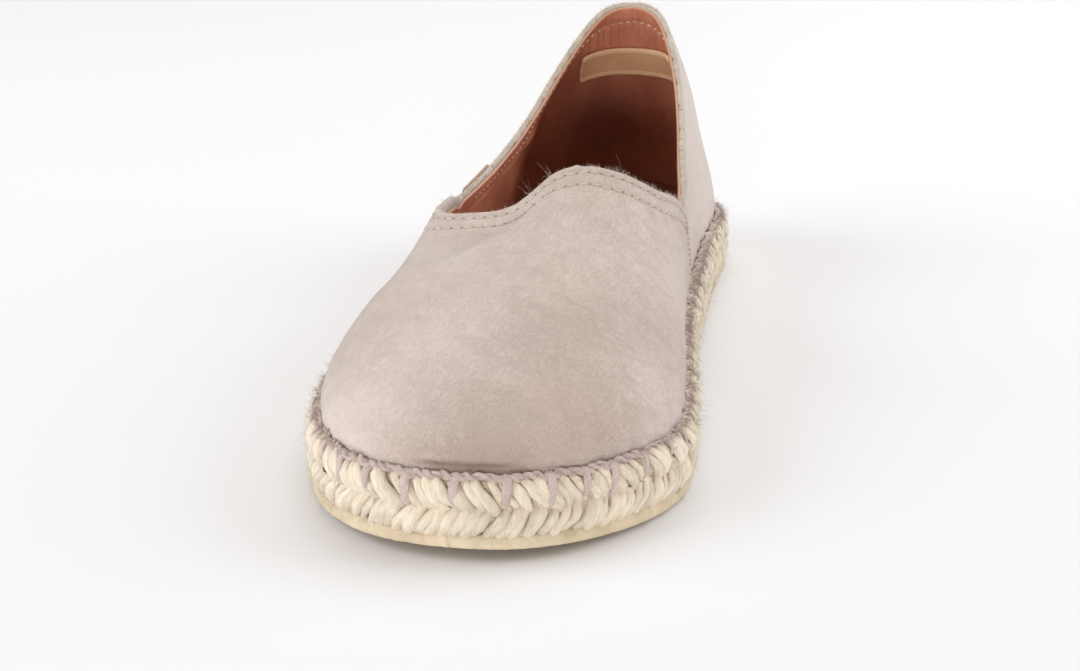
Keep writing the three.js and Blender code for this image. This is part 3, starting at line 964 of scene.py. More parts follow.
class Effects:
    """Node groups that several finishes share, each built once."""

    def __init__(self) -> None:
        """Builds the groups."""
        self.cloud = self._cloud()
        self.nap = self._nap()
        self.fibre = self._fibre()
        self.grain = self._grain()

    @staticmethod
    def _start(
        name: str, inputs: dict[str, float | None], outputs: Sequence[str]
    ) -> tuple[NodeGroup, Tree, Any, Any]:
        """A new group with its sockets.

        Args:
            name: The effect's name.
            inputs: Starting value by input; None makes it a vector.
            outputs: Names of the values that come out.

        Returns:
            The group, its helper, and its input and output nodes.
        """
        group = bpy.data.node_groups.new(name, "ShaderNodeTree")
        for key, start in inputs.items():
            kind = "NodeSocketVector" if start is None else "NodeSocketFloat"
            socket = group.interface.new_socket(name=key, in_out="INPUT", socket_type=kind)
            if start is not None:
                socket.default_value = start
        for key in outputs:
            group.interface.new_socket(name=key, in_out="OUTPUT", socket_type="NodeSocketFloat")
        tree = Tree(group)
        source, sink = tree.add("NodeGroupInput"), tree.add("NodeGroupOutput")
        return group, tree, source.outputs, sink

    def _cloud(self) -> NodeGroup:
        """Large soft patches of lighter and darker colour.

        Returns:
            The node group.
        """
        group, tree, given, sink = self._start("cloud", {"Vector": None, "Scale": 40.0}, ["Patch", "Drift"])
        wide = tree.noise(given["Vector"], given["Scale"], 4.0, 0.6)
        far = tree.noise(given["Vector"], tree.math("MULTIPLY", given["Scale"], 0.37), 2.0, 0.5)
        tree.tree.links.new(tree.span(wide, 0.3, 0.7), sink.inputs["Patch"])
        tree.tree.links.new(tree.span(far, 0.35, 0.65), sink.inputs["Drift"])
        return group

    def _nap(self) -> NodeGroup:
        """Short brushed fibres: fine specks and a soft relief.

        Returns:
            The node group.
        """
        group, tree, given, sink = self._start("nap", {"Vector": None, "Scale": 1500.0}, ["Speck", "Height"])
        bent = tree.noise(given["Vector"], tree.math("MULTIPLY", given["Scale"], 0.12), 2.0)
        lean = tree.scaled(given["Vector"], (1.0, 0.45, 1.0))
        warp = tree.add("VectorMath", {0: lean, 1: tree.math("MULTIPLY", bent, 0.004)}, operation="ADD")
        fine = tree.noise(warp.outputs[0], given["Scale"], 5.0, 0.72)
        hairs = tree.noise(warp.outputs[0], tree.math("MULTIPLY", given["Scale"], 1.9), 2.0)
        glint = tree.math("MULTIPLY", tree.span(hairs, 0.6, 0.72), 0.45)
        speck = tree.math("ADD", tree.span(fine, 0.36, 0.66, 0.0, 0.85), glint)
        soft = tree.math("ADD", speck, tree.math("MULTIPLY", bent, 0.8))
        tree.tree.links.new(speck, sink.inputs["Speck"])
        tree.tree.links.new(soft, sink.inputs["Height"])
        return group

    def _fibre(self) -> NodeGroup:
        """Long fibres that run along a yarn.

        Returns:
            The node group.
        """
        group, tree, given, sink = self._start("fibre", {"Vector": None, "Scale": 2.4}, ["Strand", "Height"])
        long = tree.scaled(given["Vector"], (1.0, 1.0, 0.09))
        coarse = tree.noise(long, given["Scale"], 3.0, 0.6)
        fine = tree.noise(long, tree.math("MULTIPLY", given["Scale"], 2.7), 3.0, 0.65)
        both = tree.math("ADD", tree.math("MULTIPLY", coarse, 0.6), tree.math("MULTIPLY", fine, 0.4))
        tree.tree.links.new(tree.span(both, 0.36, 0.62), sink.inputs["Strand"])
        tree.tree.links.new(both, sink.inputs["Height"])
        return group

    def _grain(self) -> NodeGroup:
        """Pebbled leather grain.

        Returns:
            The node group.
        """
        inputs = {"Vector": None, "Scale": 900.0}
        group, tree, given, sink = self._start("grain", inputs, ["Crease", "Height"])
        cells = tree.add("TexVoronoi", {"Vector": given["Vector"], "Scale": given["Scale"]}, feature="F1")
        pebble = tree.span(cells.outputs["Distance"], 0.0, 0.75, 1.0, 0.0)
        rough = tree.noise(given["Vector"], tree.math("MULTIPLY", given["Scale"], 0.5), 4.0)
        tree.tree.links.new(tree.span(pebble, 0.0, 0.35, 1.0, 0.0), sink.inputs["Crease"])
        tree.tree.links.new(tree.math("ADD", pebble, rough), sink.inputs["Height"])
        return group


class Finish:
    """A finish that makes one material."""

    name: str = "plain"

    def build(self, effects: Effects) -> bpy.types.Material:
        """Makes the material.

        Args:
            effects: The shared effects.

        Returns:
            The material.
        """
        material = bpy.data.materials.new(self.name)
        material.use_nodes = True
        material.node_tree.nodes.clear()
        tree = Tree(material.node_tree)
        shader = tree.add("BsdfPrincipled")
        tree.add("OutputMaterial", {"Surface": shader.outputs[0]})
        self.dress(tree, shader, effects)
        return material

    def dress(self, tree: Tree, shader: Node, effects: Effects) -> None:
        """Feeds the shader."""
        raise NotImplementedError

    @staticmethod
    def feed(tree: Tree, shader: Node, **sockets: Any) -> None:
        """Links or sets sockets of the shader, with _ for a space in their names.

        Args:
            tree: Helper of the material's nodes.
            shader: The shader to feed.
            sockets: Values or links by socket.
        """
        for key, value in sockets.items():
            socket = shader.inputs[key.replace("_", " ")]
            if isinstance(value, Socket):
                tree.tree.links.new(value, socket)
            else:
                socket.default_value = value


@dataclass(frozen=True)
class Suede(Finish):
    """Suede with a brushed, mottled nap and painted light and shade; its cut edge is greyer."""

    name: str = "suede"
    light: Colour = (0.68, 0.575, 0.52)
    dark: Colour = (0.42, 0.33, 0.285)
    pink: Colour = (0.57, 0.43, 0.385)
    cut: Colour = (0.56, 0.50, 0.40)
    cut_share: float = 0.0

    def dress(self, tree: Tree, shader: Node, effects: Effects) -> None:
        """Patches, drift towards pink, specks of nap, the cut edge, and painted light and shade from the lay
        and tight values.

        Args:
            tree: Helper of the material's nodes.
            shader: The shader to feed.
            effects: The shared effects.
        """
        place = tree.place()
        cloud = tree.group(effects.cloud, {"Vector": place, "Scale": 46.0})
        small = tree.group(effects.cloud, {"Vector": place, "Scale": 190.0})
        nap = tree.group(effects.nap, {"Vector": place, "Scale": 1500.0})
        shade = tree.math("MULTIPLY", cloud.outputs["Patch"], 0.3)
        shade = tree.math("ADD", shade, tree.math("MULTIPLY", small.outputs["Patch"], 0.18))
        shade = tree.math("ADD", shade, tree.math("MULTIPLY", nap.outputs["Speck"], 0.62))
        # The lay value lightens or darkens the suede: partly nap that lies another way, partly painted light
        # and shade.
        shade = tree.math("ADD", shade, tree.value("lay"), clamp=True)
        colour = tree.blend(shade, self.dark, self.light)
        blush = tree.math("MULTIPLY", cloud.outputs["Drift"], 0.35)
        colour = tree.blend(blush, colour, self.pink)
        rim = tree.value("rim")
        cut = tree.math("MULTIPLY", tree.span(rim, 0.12, 0.4), self.cut_share)
        fuzz = tree.math("MULTIPLY", cut, tree.span(nap.outputs["Speck"], 0.0, 1.0, 0.55, 1.0))
        colour = tree.blend(fuzz, colour, self.cut)
        # Painted shade: the tight value darkens the suede in the tuck creases and along the stitch rows.
        tight = tree.value("tight")
        colour = tree.blend(tree.math("MULTIPLY", tight, 0.75), colour, (0.25, 0.18, 0.145))
        low = tree.bump(nap.outputs["Height"], 0.22, 0.8)
        normal = tree.bump(small.outputs["Patch"], 0.3, 0.4, low)
        self.feed(tree, shader, Base_Color=colour, Roughness=0.93, Normal=normal)
        self.feed(tree, shader, Specular_IOR_Level=0.12, Sheen_Weight=0.6, Sheen_Roughness=0.4)


@dataclass(frozen=True)
class Lining(Finish):
    """Smooth brown lining leather, slightly glossy, paler where its edge is rubbed, with painted shade deep
    in the heel.
    """

    name: str = "lining"
    light: Colour = (0.60, 0.24, 0.14)
    dark: Colour = (0.38, 0.125, 0.075)
    edge: Colour = (0.56, 0.33, 0.22)
    # Colour of the painted shade deep inside the heel.
    wear_and_painted_shade: Colour = (0.13, 0.04, 0.028)

    def dress(self, tree: Tree, shader: Node, effects: Effects) -> None:
        """Soft patches over fine grain, painted shade deep in the heel, and a pale cut edge.

        Args:
            tree: Helper of the material's nodes.
            shader: The shader to feed.
            effects: The shared effects.
        """
        place = tree.place()
        cloud = tree.group(effects.cloud, {"Vector": place, "Scale": 60.0})
        grain = tree.group(effects.grain, {"Vector": place, "Scale": 1300.0})
        colour = tree.blend(cloud.outputs["Patch"], self.dark, self.light)
        colour = tree.blend(tree.math("MULTIPLY", grain.outputs["Crease"], 0.1), colour, (0.16, 0.05, 0.03))
        # Painted shade: the lay value darkens the lining deep inside the heel.
        colour = tree.blend(tree.math("MULTIPLY", tree.value("lay"), 0.75), colour, self.wear_and_painted_shade)
        colour = tree.blend(tree.span(tree.value("rim"), 0.1, 0.45), colour, self.edge)
        rough = tree.span(cloud.outputs["Drift"], 0.0, 1.0, 0.42, 0.55)
        normal = tree.bump(grain.outputs["Height"], 0.06, 0.4)
        self.feed(tree, shader, Base_Color=colour, Roughness=rough, Normal=normal, Specular_IOR_Level=0.4)


@dataclass(frozen=True)
class Rope(Finish):
    """Dry plant fibre, in the tone of each strand."""

    name: str = "jute"
    light: Colour = (0.94, 0.85, 0.70)
    dark: Colour = (0.68, 0.55, 0.40)
    dust: Colour = (0.88, 0.80, 0.68)
    scale: float = 3.6
    relief: float = 0.6
    rough: float = 0.85

    def dress(self, tree: Tree, shader: Node, effects: Effects) -> None:
        """Fibres along the yarn, patches, and a tone for each strand.

        Args:
            tree: Helper of the material's nodes.
            shader: The shader to feed.
            effects: The shared effects.
        """
        fibre = tree.group(effects.fibre, {"Vector": tree.value("fibre", "Vector"), "Scale": self.scale})
        cloud = tree.group(effects.cloud, {"Vector": tree.place(), "Scale": 150.0})
        colour = tree.blend(fibre.outputs["Strand"], self.dark, self.light)
        colour = tree.blend(tree.math("MULTIPLY", cloud.outputs["Patch"], 0.35), colour, self.dust)
        tone = tree.span(tree.value("tone"), 0.0, 1.0, 0.86, 1.06)
        grey = tree.add("CombineColor", {0: tone, 1: tone, 2: tone}).outputs[0]
        colour = tree.blend(1.0, colour, grey, "MULTIPLY")
        normal = tree.bump(fibre.outputs["Height"], self.relief, 0.8)
        self.feed(tree, shader, Base_Color=colour, Roughness=self.rough, Normal=normal)
        self.feed(tree, shader, Specular_IOR_Level=0.25, Sheen_Weight=0.2)


@dataclass(frozen=True)
class Rubber(Finish):
    """Cream crepe rubber with a fine dusty skin."""

    name: str = "tread_rubber"
    light: Colour = (0.71, 0.605, 0.45)
    dark: Colour = (0.53, 0.42, 0.285)

    def dress(self, tree: Tree, shader: Node, effects: Effects) -> None:
        """Patches and a fine pitted relief, with cross ribs underneath.

        Args:
            tree: Helper of the material's nodes.
            shader: The shader to feed.
            effects: The shared effects.
        """
        place = tree.place()
        cloud = tree.group(effects.cloud, {"Vector": place, "Scale": 120.0})
        grain = tree.group(effects.grain, {"Vector": place, "Scale": 1100.0})
        colour = tree.blend(cloud.outputs["Patch"], self.dark, self.light)
        bands = {"Vector": place, "Scale": 62.0, "Distortion": 1.5, "Detail": 1.0}
        wave = tree.add("TexWave", bands, bands_direction="Y")
        under = tree.value("under")
        rib = tree.math("MULTIPLY", tree.span(wave.outputs["Fac"], 0.35, 0.65), under)
        low = tree.bump(grain.outputs["Height"], 0.12, 0.5)
        normal = tree.bump(rib, 0.8, 0.8, low)
        self.feed(tree, shader, Base_Color=colour, Roughness=0.7, Normal=normal, Specular_IOR_Level=0.3)


@dataclass(frozen=True)
class Webbing(Finish):
    """Tan strap with a fine rib and paler hems."""

    name: str = "heel_webbing"
    light: Colour = (0.64, 0.39, 0.21)
    dark: Colour = (0.48, 0.27, 0.135)
    hem: Colour = (0.82, 0.57, 0.35)

    def dress(self, tree: Tree, shader: Node, effects: Effects) -> None:
        """Ribs across the strap, patches and hems.

        Args:
            tree: Helper of the material's nodes.
            shader: The shader to feed.
            effects: The shared effects.
        """
        place = tree.place()
        cloud = tree.group(effects.cloud, {"Vector": place, "Scale": 90.0})
        nap = tree.group(effects.nap, {"Vector": place, "Scale": 2200.0})
        wave = tree.add("TexWave", {"Vector": place, "Scale": 420.0, "Distortion": 0.6}, bands_direction="Z")
        colour = tree.blend(cloud.outputs["Patch"], self.dark, self.light)
        colour = tree.blend(tree.math("MULTIPLY", nap.outputs["Speck"], 0.25), colour, self.hem)
        colour = tree.blend(tree.math("MULTIPLY", tree.value("hem"), 0.7), colour, self.hem)
        normal = tree.bump(wave.outputs["Fac"], 0.12, 0.45)
        self.feed(tree, shader, Base_Color=colour, Roughness=0.62, Normal=normal, Specular_IOR_Level=0.35)


@dataclass(frozen=True)
class PlainLeather(Finish):
    """Leather of one colour with grain and soft patches."""

    name: str = "tab_leather"
    light: Colour = (0.47, 0.31, 0.19)
    dark: Colour = (0.33, 0.20, 0.12)
    rough: float = 0.6

    def dress(self, tree: Tree, shader: Node, effects: Effects) -> None:
        """Grain and patches.

        Args:
            tree: Helper of the material's nodes.
            shader: The shader to feed.
            effects: The shared effects.
        """
        place = tree.place()
        cloud = tree.group(effects.cloud, {"Vector": place, "Scale": 160.0})
        grain = tree.group(effects.grain, {"Vector": place, "Scale": 1200.0})
        colour = tree.blend(cloud.outputs["Patch"], self.dark, self.light)
        colour = tree.blend(tree.math("MULTIPLY", grain.outputs["Crease"], 0.35), colour, self.dark)
        normal = tree.bump(grain.outputs["Height"], 0.08, 0.5)
        self.feed(tree, shader, Base_Color=colour, Roughness=self.rough, Normal=normal)
        self.feed(tree, shader, Specular_IOR_Level=0.35)


@dataclass(frozen=True)
class Floor(Finish):
    """Plain pale studio floor that fades into the pale backdrop far from the shoe."""

    name: str = "studio_floor"
    colour: Colour = (0.80, 0.80, 0.81)
    backdrop: Colour = (0.93, 0.93, 0.94)
    fade: tuple[float, float] = (0.75, 1.5)

    def dress(self, tree: Tree, shader: Node, effects: Effects) -> None:
        """One pale colour with hardly any variation, glowing softly where it fades out.

        Args:
            tree: Helper of the material's nodes.
            shader: The shader to feed.
            effects: The shared effects.
        """
        place = tree.place()
        cloud = tree.group(effects.cloud, {"Vector": place, "Scale": 3.0})
        shade = tree.math("MULTIPLY", cloud.outputs["Patch"], 0.02)
        colour = tree.blend(shade, self.colour, (0.8, 0.8, 0.8))
        away = tree.add("VectorMath", {0: place}, operation="LENGTH").outputs["Value"]
        far = tree.span(away, *self.fade)
        colour = tree.blend(far, colour, (0.0, 0.0, 0.0))
        glow = tree.blend(far, (0.0, 0.0, 0.0), self.backdrop)
        self.feed(tree, shader, Base_Color=colour, Emission_Color=glow)
        self.feed(tree, shader, Roughness=0.8, Specular_IOR_Level=0.1, Emission_Strength=1.0)


class Finishes:
    """All materials of the shoe, made once."""

    def __init__(self) -> None:
        """Builds every material."""
        effects = Effects()
        self.suede = Suede().build(effects)
        cut_suede = Suede("suede_cut_edge", (0.77, 0.69, 0.63), (0.52, 0.44, 0.385), cut_share=0.9)
        self.cut_suede = cut_suede.build(effects)
        self.lining = Lining().build(effects)
        footbed = PlainLeather("footbed_leather", (0.30, 0.12, 0.07), (0.19, 0.07, 0.04), 0.55)
        self.footbed = footbed.build(effects)
        self.jute = Rope().build(effects)
        self.core = Rope("jute_core", (0.80, 0.68, 0.52), (0.50, 0.39, 0.27), scale=1.2).build(effects)
        self.blanket = Rope(
            "blanket_yarn", (0.70, 0.57, 0.53), (0.44, 0.34, 0.31), (0.64, 0.53, 0.50), 3.2, 0.35
        ).build(effects)
        thread = Rope("seam_thread", (0.74, 0.63, 0.57), (0.54, 0.44, 0.39), (0.68, 0.58, 0.52), 6.0, 0.1)
        self.thread = thread.build(effects)
        dots = Rope("lining_thread", (0.74, 0.54, 0.40), (0.55, 0.36, 0.25), (0.68, 0.50, 0.36), 6.0, 0.1)
        self.dots = dots.build(effects)
        wisp = Rope("suede_wisp", (0.74, 0.62, 0.54), (0.54, 0.44, 0.37), (0.70, 0.59, 0.51), 6.0, 0.02)
        self.wisp = wisp.build(effects)
        # Painted shade: dark thread bits at the stitch holes stand in for the shade inside the holes.
        hole_shade = Rope("painted_hole_shade", (0.42, 0.33, 0.27), (0.28, 0.22, 0.18), (0.36, 0.29, 0.24), 6.0, 0.1)
        self.hole_shade = hole_shade.build(effects)
        frayed = Rope("frayed_thread", (0.97, 0.93, 0.88), (0.82, 0.76, 0.70), (0.92, 0.88, 0.83), 6.0, 0.05)
        self.frayed = frayed.build(effects)
        self.rubber = Rubber().build(effects)
        self.webbing = Webbing().build(effects)
        self.tab = PlainLeather().build(effects)
        self.floor = Floor().build(effects)


@dataclass(frozen=True)
class Pattern:
    """Cutting lines of the upper: the vamp's edge, the quarter's and how they lap."""

    last: Last
    throat: float = 0.4175
    throat_foot: float = 0.35
    corner: float = 0.562
    vamp_foot: float = 0.575
    edge_at: tuple[float, ...] = (0.0, 0.2, 0.4, 0.6, 0.8, 1.0)
    outer_along: tuple[float, ...] = (0.4175, 0.412, 0.413, 0.431, 0.484)
    outer_angle: tuple[float, ...] = (90.0, 76.0, 61.0, 42.0, 28.8)
    inner_along: tuple[float, ...] = (0.4175, 0.421, 0.435, 0.461, 0.508)
    inner_angle: tuple[float, ...] = (90.0, 74.0, 58.0, 42.5, 29.5)

    def vamp(self, side: int, front: int, instep: int, pull: float) -> tuple[Array, Array, Array, Array]:
        """Columns of the vamp from the toe to the corner.

        Args:
            side: Side of the shoe.
            front: Number of columns up to the throat.
            instep: Number of columns from the throat to the corner.
            pull: How far in millimetres the rear edge is drawn back.

        Returns:
            Walks of the feet, walks of the ends, end angles, and a mask of the columns that
            end on the free edge.
        """
        last = self.last
        back = pull / last.length
        corner = last.walk(self.corner)
        corner_angle = float(last.angle_at(corner, side, last.collar(corner, side)))
        along = self.inner_along if side > 0 else self.outer_along
        angle = self.inner_angle if side > 0 else self.outer_angle
        along_curve = SizeCurve(self.edge_at, (*along, self.corner))
        angle_curve = SizeCurve(self.edge_at, (*angle, corner_angle))
        s = np.arange(front) / front
        s = 0.35 * s + 0.65 * (1 - (1 - s) ** 2)
        throat_walk = last.walk(self.throat - back)
        foot_walk = last.walk(self.throat_foot)
        v = np.linspace(0, 1, instep + 1)
        instep_foot = foot_walk + (last.walk(self.vamp_foot) - foot_walk) * v**1.35
        foot = np.concatenate([foot_walk * s, instep_foot])
        ends = last.walk(along_curve(v) - back * (1 - 0.4 * v))
        end = np.concatenate([throat_walk * s, ends])
        ends_angle = angle_curve(v) - pull / 0.8 * ease(v * 1.6)
        angles = np.concatenate([np.full(front, 90.0), ends_angle])
        free = np.concatenate([np.zeros(front, bool), np.ones(instep + 1, bool)])
        return foot, end, angles, free

    def quarter(self, side: int, columns: int, pull: float, lap: float) -> tuple[Array, Array, Array, Array]:
        """Columns of the quarter from under the vamp to the middle of the heel.

        Args:
            side: Side of the shoe.
            columns: Number of columns.
            pull: How far in millimetres the topline is drawn down.
            lap: How far in millimetres the quarter reaches forwards under the vamp.

        Returns:
            Walks of the feet, walks of the ends, end angles, and a mask of all columns.
        """
        last = self.last
        shift = lap / last.length
        s = np.linspace(0, 1, columns + 1)
        foot = last.walk(self.vamp_foot - shift) * (1 - s) + s
        end = last.walk(self.corner - shift) * (1 - s) + s
        angle = last.angle_at(end, side, last.collar(end, side) - pull)
        return foot, end, angle, np.ones(columns + 1, bool)

    def grid(
        self, side: int, columns: tuple[Array, Array, Array, Array], u: Array, radius: float
    ) -> tuple[Array, dict[str, Array], bool]:
        """A grid of points on the last.

        Args:
            side: Side of the shoe.
            columns: Feet, ends, angles and free ends of the columns.
            u: Places up each column.
            radius: Radius of the finished edge.

        Returns:
            Points, values and whether the faces turn over.
        """
        foot, end, top, free = (part[:, None] for part in columns)
        w = foot + (end - foot) * u[None]
        angle = top * u[None]
        points = self.last.surface(w, side, angle)
        roll = np.where(free & (u[None] > 1 - 1e-9), radius, 0.0)
        t = self.last.along(w)
        values = {"t": t, "angle": angle, "roll": roll}
        return points, values, side < 0


@dataclass
class Upper:
    """Suede upper: the vamp lapped over the quarter, lined, with its seams, creases and fluff."""

    last: Last
    pattern: Pattern
    loop: Loop
    finishes: Finishes
    vamp_edge: float = 1.25
    vamp_rear: float = 0.42
    quarter_drop: float = 0.9
    quarter_edge: float = 0.8
    lining_depth: float = 3.15
    lining_hem: tuple[float, float] = (0.25, 6.0)
    lining_edge: float = 0.52
    stitch_pitch: float = 10.24
    tuft_places: tuple[tuple[Place, int], ...] = (
        ((2.5, -24, 55), 5),
        ((-3, -25, 50.5), 3),
        ((19, -21, 56), 2),
    )
    folds: tuple[Fold, ...] = (
        Fold(
            ((15.4, -27, 54), (2, -36.5, 49.6), (-7.5, -40, 44.5), (-15, -49, 41.4), (-20, -55, 39)), 1.0, 5.0
        ),
        Fold(((4, -27, 51), (-4, -30, 47.5), (-13, -34, 44), (-20, -41, 41.5), (-26, -50, 38)), -1.1, 5.0),
        Fold(((-7, -127.4, 20.6), (-3, -127.9, 20.5), (1, -128.0, 20.7), (4.5, -127.8, 20.9)), -0.8, 0.6),
        Fold(((2, -128.0, 20.3), (6.2, -127.5, 20.7), (9.2, -127.2, 20.6), (13.5, -126.0, 20.5)), -0.9, 0.6),
        Fold(
            (
                (-6, -127.7, 18.9), (0, -128.1, 19.1), (6.2, -127.7, 19.1),
                (12, -126.3, 18.9), (18, -123.7, 18.7),
            ),
            -0.5,
            0.8,
        ),
        Fold(((9, -24, 58), (14, -23, 57.6), (19, -21.5, 56.2), (24, -17, 53.5)), 0.9, 6.0),
        Fold(((30, -40, 38), (27, -28, 43), (24, -18, 51)), -0.5, 6.0),
        Fold(((36, 8, 30), (36, -14, 33), (38, -34, 30)), 0.5, 6.0),
        Fold(((-33, 35, 26), (-31, 60, 30), (-30, 86, 30)), -0.8, 6.0),
        Fold(((34, 35, 26), (31, 60, 30), (29, 86, 30)), -0.8, 6.0),
        Fold(((22, 108, 30), (14, 121, 34), (4, 126, 34)), 0.5, 5.0),
        Fold(((36, 26, 29), (34, 62, 34), (32, 92, 38), (27, 114, 42)), -2.8, 14.0),
        Fold(((31, 22, 41), (29, 50, 51), (25, 80, 65), (20, 98, 74)), 1.2, 9.0),
        Fold(((-31, 12, 38), (-34, -6, 37), (-38, -24, 33), (-41, -46, 29)), -1.7, 8.0),
    )
    sag: Fold = Fold(
        (
            (-25.5, 46, 30), (-24, 52, 36.5), (-22.5, 55, 40.3),
            (-21, 63, 43), (-21.5, 84, 42.5), (-21.5, 104, 41),
        ),
        3.6,
        3.0,
    )
    # Painted shade on the lining, strongest deep inside the heel; it becomes the lining's lay value.
    wear_and_painted_shade: tuple[NapAndPaintedLightPatch, ...] = (
        NapAndPaintedLightPatch((-6, 122, 37), 15.0, 1.0),
        NapAndPaintedLightPatch((-6, 100, 22), 22.0, 0.6),
        NapAndPaintedLightPatch((0, 60, 20), 22.0, 0.3),
    )
    # Patches for the suede's lay value: partly nap that lies another way, partly painted light and shade,
    # such as the lighter outer flank of the toe.
    patches: tuple[NapAndPaintedLightPatch, ...] = (
        NapAndPaintedLightPatch((15.3, -83.5, 36.3), 17.0, -0.45),
        NapAndPaintedLightPatch((12.6, -116.7, 27.2), 14.0, -0.45),
        NapAndPaintedLightPatch((28.3, -108.7, 25.3), 11.0, -0.3),
        NapAndPaintedLightPatch((6.2, -127.3, 20.0), 9.0, -0.6),
        NapAndPaintedLightPatch((-9.4, -85.2, 35.2), 13.0, 0.3),
        NapAndPaintedLightPatch((-30.0, -113.0, 19.0), 17.0, 0.7),
        NapAndPaintedLightPatch((36.4, -32.0, 28.7), 16.0, 0.4),
        NapAndPaintedLightPatch((38.0, -90.0, 25.0), 13.0, 0.25),
        NapAndPaintedLightPatch((-17.0, -49.0, 41.0), 9.0, 0.25),
        NapAndPaintedLightPatch((26.0, 84.0, 46.0), 28.0, 0.3),
    )
    loose_end: Place = (31.6, 52.4, 22.2)

    def shaped(self, sheet: Sheet, amount: float = 1.0) -> Sheet:
        """Moves a sheet by the creases, soft lumps and the pull of the blanket stitches.

        Args:
            sheet: A sheet on the last.
            amount: Share of the relief that this layer takes.

        Returns:
            The same sheet.
        """
        t = sheet.values["t"]
        move = sum((fold.height(sheet.points) for fold in self.folds), np.zeros(len(t)))
        x, y, z = (sheet.points / 9.0).T
        lumps = np.sin(x * 1.3 + 0.7 * y + 1.0) * np.sin(y * 0.9 - z * 0.6)
        lumps = lumps + 0.6 * np.sin(x * 2.1 - y * 1.7 + z * 1.4)
        move = move + 0.16 * lumps * ease(np.minimum(t, 1 - t) * 12)
        move = move * ease(sheet.values["angle"] / 5)
        # lay: soft patches of painted light and shade, together with nap that lies another way.
        sheet.values["lay"] = sum((patch.shade(sheet.points) for patch in self.patches), np.zeros(len(t)))
        run = self.run_beside(sheet.points)
        above = sheet.points[:, 2] - self.last.sole - self.last.lift(sheet.points[:, 1])
        tuck = 0.5 - 0.5 * np.cos(2 * np.pi * (run - 1.0) / self.stitch_pitch)
        move = move - (0.55 * tuck + 0.15) * np.exp(-np.clip(above - 1.0, 0, None) / 2.6)
        sheet.points = sheet.points + sheet.normals() * (move * amount)[:, None]
        return sheet

    def run_beside(self, points: Array) -> Array:
        """Running length round the sole beside each point.

        Args:
            points: Points on the upper.

        Returns:
            Running lengths round the sole.
        """
        level = self.loop.points + np.array([self.last.centre_x, 0.0])
        sample = slice(None, None, 6)
        far = ((points[:, None, :2] - level[None, sample]) ** 2).sum(-1)
        nearest = far.argmin(axis=1) * 6
        return self.loop.at[nearest]

    def vamp(self) -> tuple[Draft, Sheet, EdgeLine]:
        """The vamp with its turned edge, and its sheet and edge for the seams.

        Returns:
            The finished draft, the sheet and its free edge.
        """
        u = graded(92, 0.66)
        grids = []
        for side in Side:
            columns = self.pattern.vamp(side, 66, 70, self.vamp_edge * 0.4)
            points, values, turned = self.pattern.grid(side, columns, u, self.vamp_edge)
            rear = self.vamp_rear + (self.vamp_edge - self.vamp_rear) * ease((u - 0.86) / 0.14)
            values["roll"][-1] = rear
            grids.append((points, values, turned))
        sheet = Sheet(grids)
        tucks = sum(fold.height(sheet.points) / fold.depth for fold in self.folds if fold.width < 1)
        sheet = self.shaped(sheet)
        edge = sheet.edge_line(sheet.values["roll"])
        far = edge.distance(sheet.points)
        seam = sum(np.exp(-(((far - row) / 0.65) ** 2)) for row in self.rows())
        # tight: painted shade in the tuck creases and along the stitch rows, which the suede finish darkens.
        sheet.values["tight"] = np.clip(np.maximum(seam * 0.3, tucks * 1.5), 0, 1)
        sheet.points = sheet.points - sheet.normals() * (0.16 * seam)[:, None]
        roll = Roll(steps=10, tuck=5.0, tuck_steps=4)
        return sheet.finished(sheet.values["roll"], roll), sheet, edge

    @staticmethod
    def rows() -> tuple[float, float]:
        """Distances of the two rows of stitches from the vamp's edge."""
        return 1.3, 5.2

    def quarter(self) -> tuple[Draft, Sheet, EdgeLine]:
        """The quarter with its raw cut topline.

        Returns:
            The finished draft, the sheet and its free edge.
        """
        u = graded(70, 0.6)
        grids = []
        for side in Side:
            columns = self.pattern.quarter(side, 96, self.quarter_edge, 9.0)
            points, values, turned = self.pattern.grid(side, columns, u, self.quarter_edge)
            run = np.arange(97)
            ragged = 0.09 * np.sin(run * 1.7) + 0.07 * np.sin(run * 2.9 + 1) + 0.06 * np.sin(run * 0.8 + 2)
            values["roll"] = values["roll"] * (1 + ragged * np.clip((96 - run) / 6, 0, 1))[:, None]
            grids.append((points, values, turned))
        sheet = self.shaped(Sheet(grids))
        sheet.points = sheet.points - sheet.normals() * self.quarter_drop
        sheet.values["tight"] = np.zeros(len(sheet.points))
        edge = sheet.edge_line(sheet.values["roll"])
        roll = Roll(steps=8, square=3.4, tuck=2.5, tuck_steps=2)
        return sheet.finished(sheet.values["roll"], roll), sheet, edge

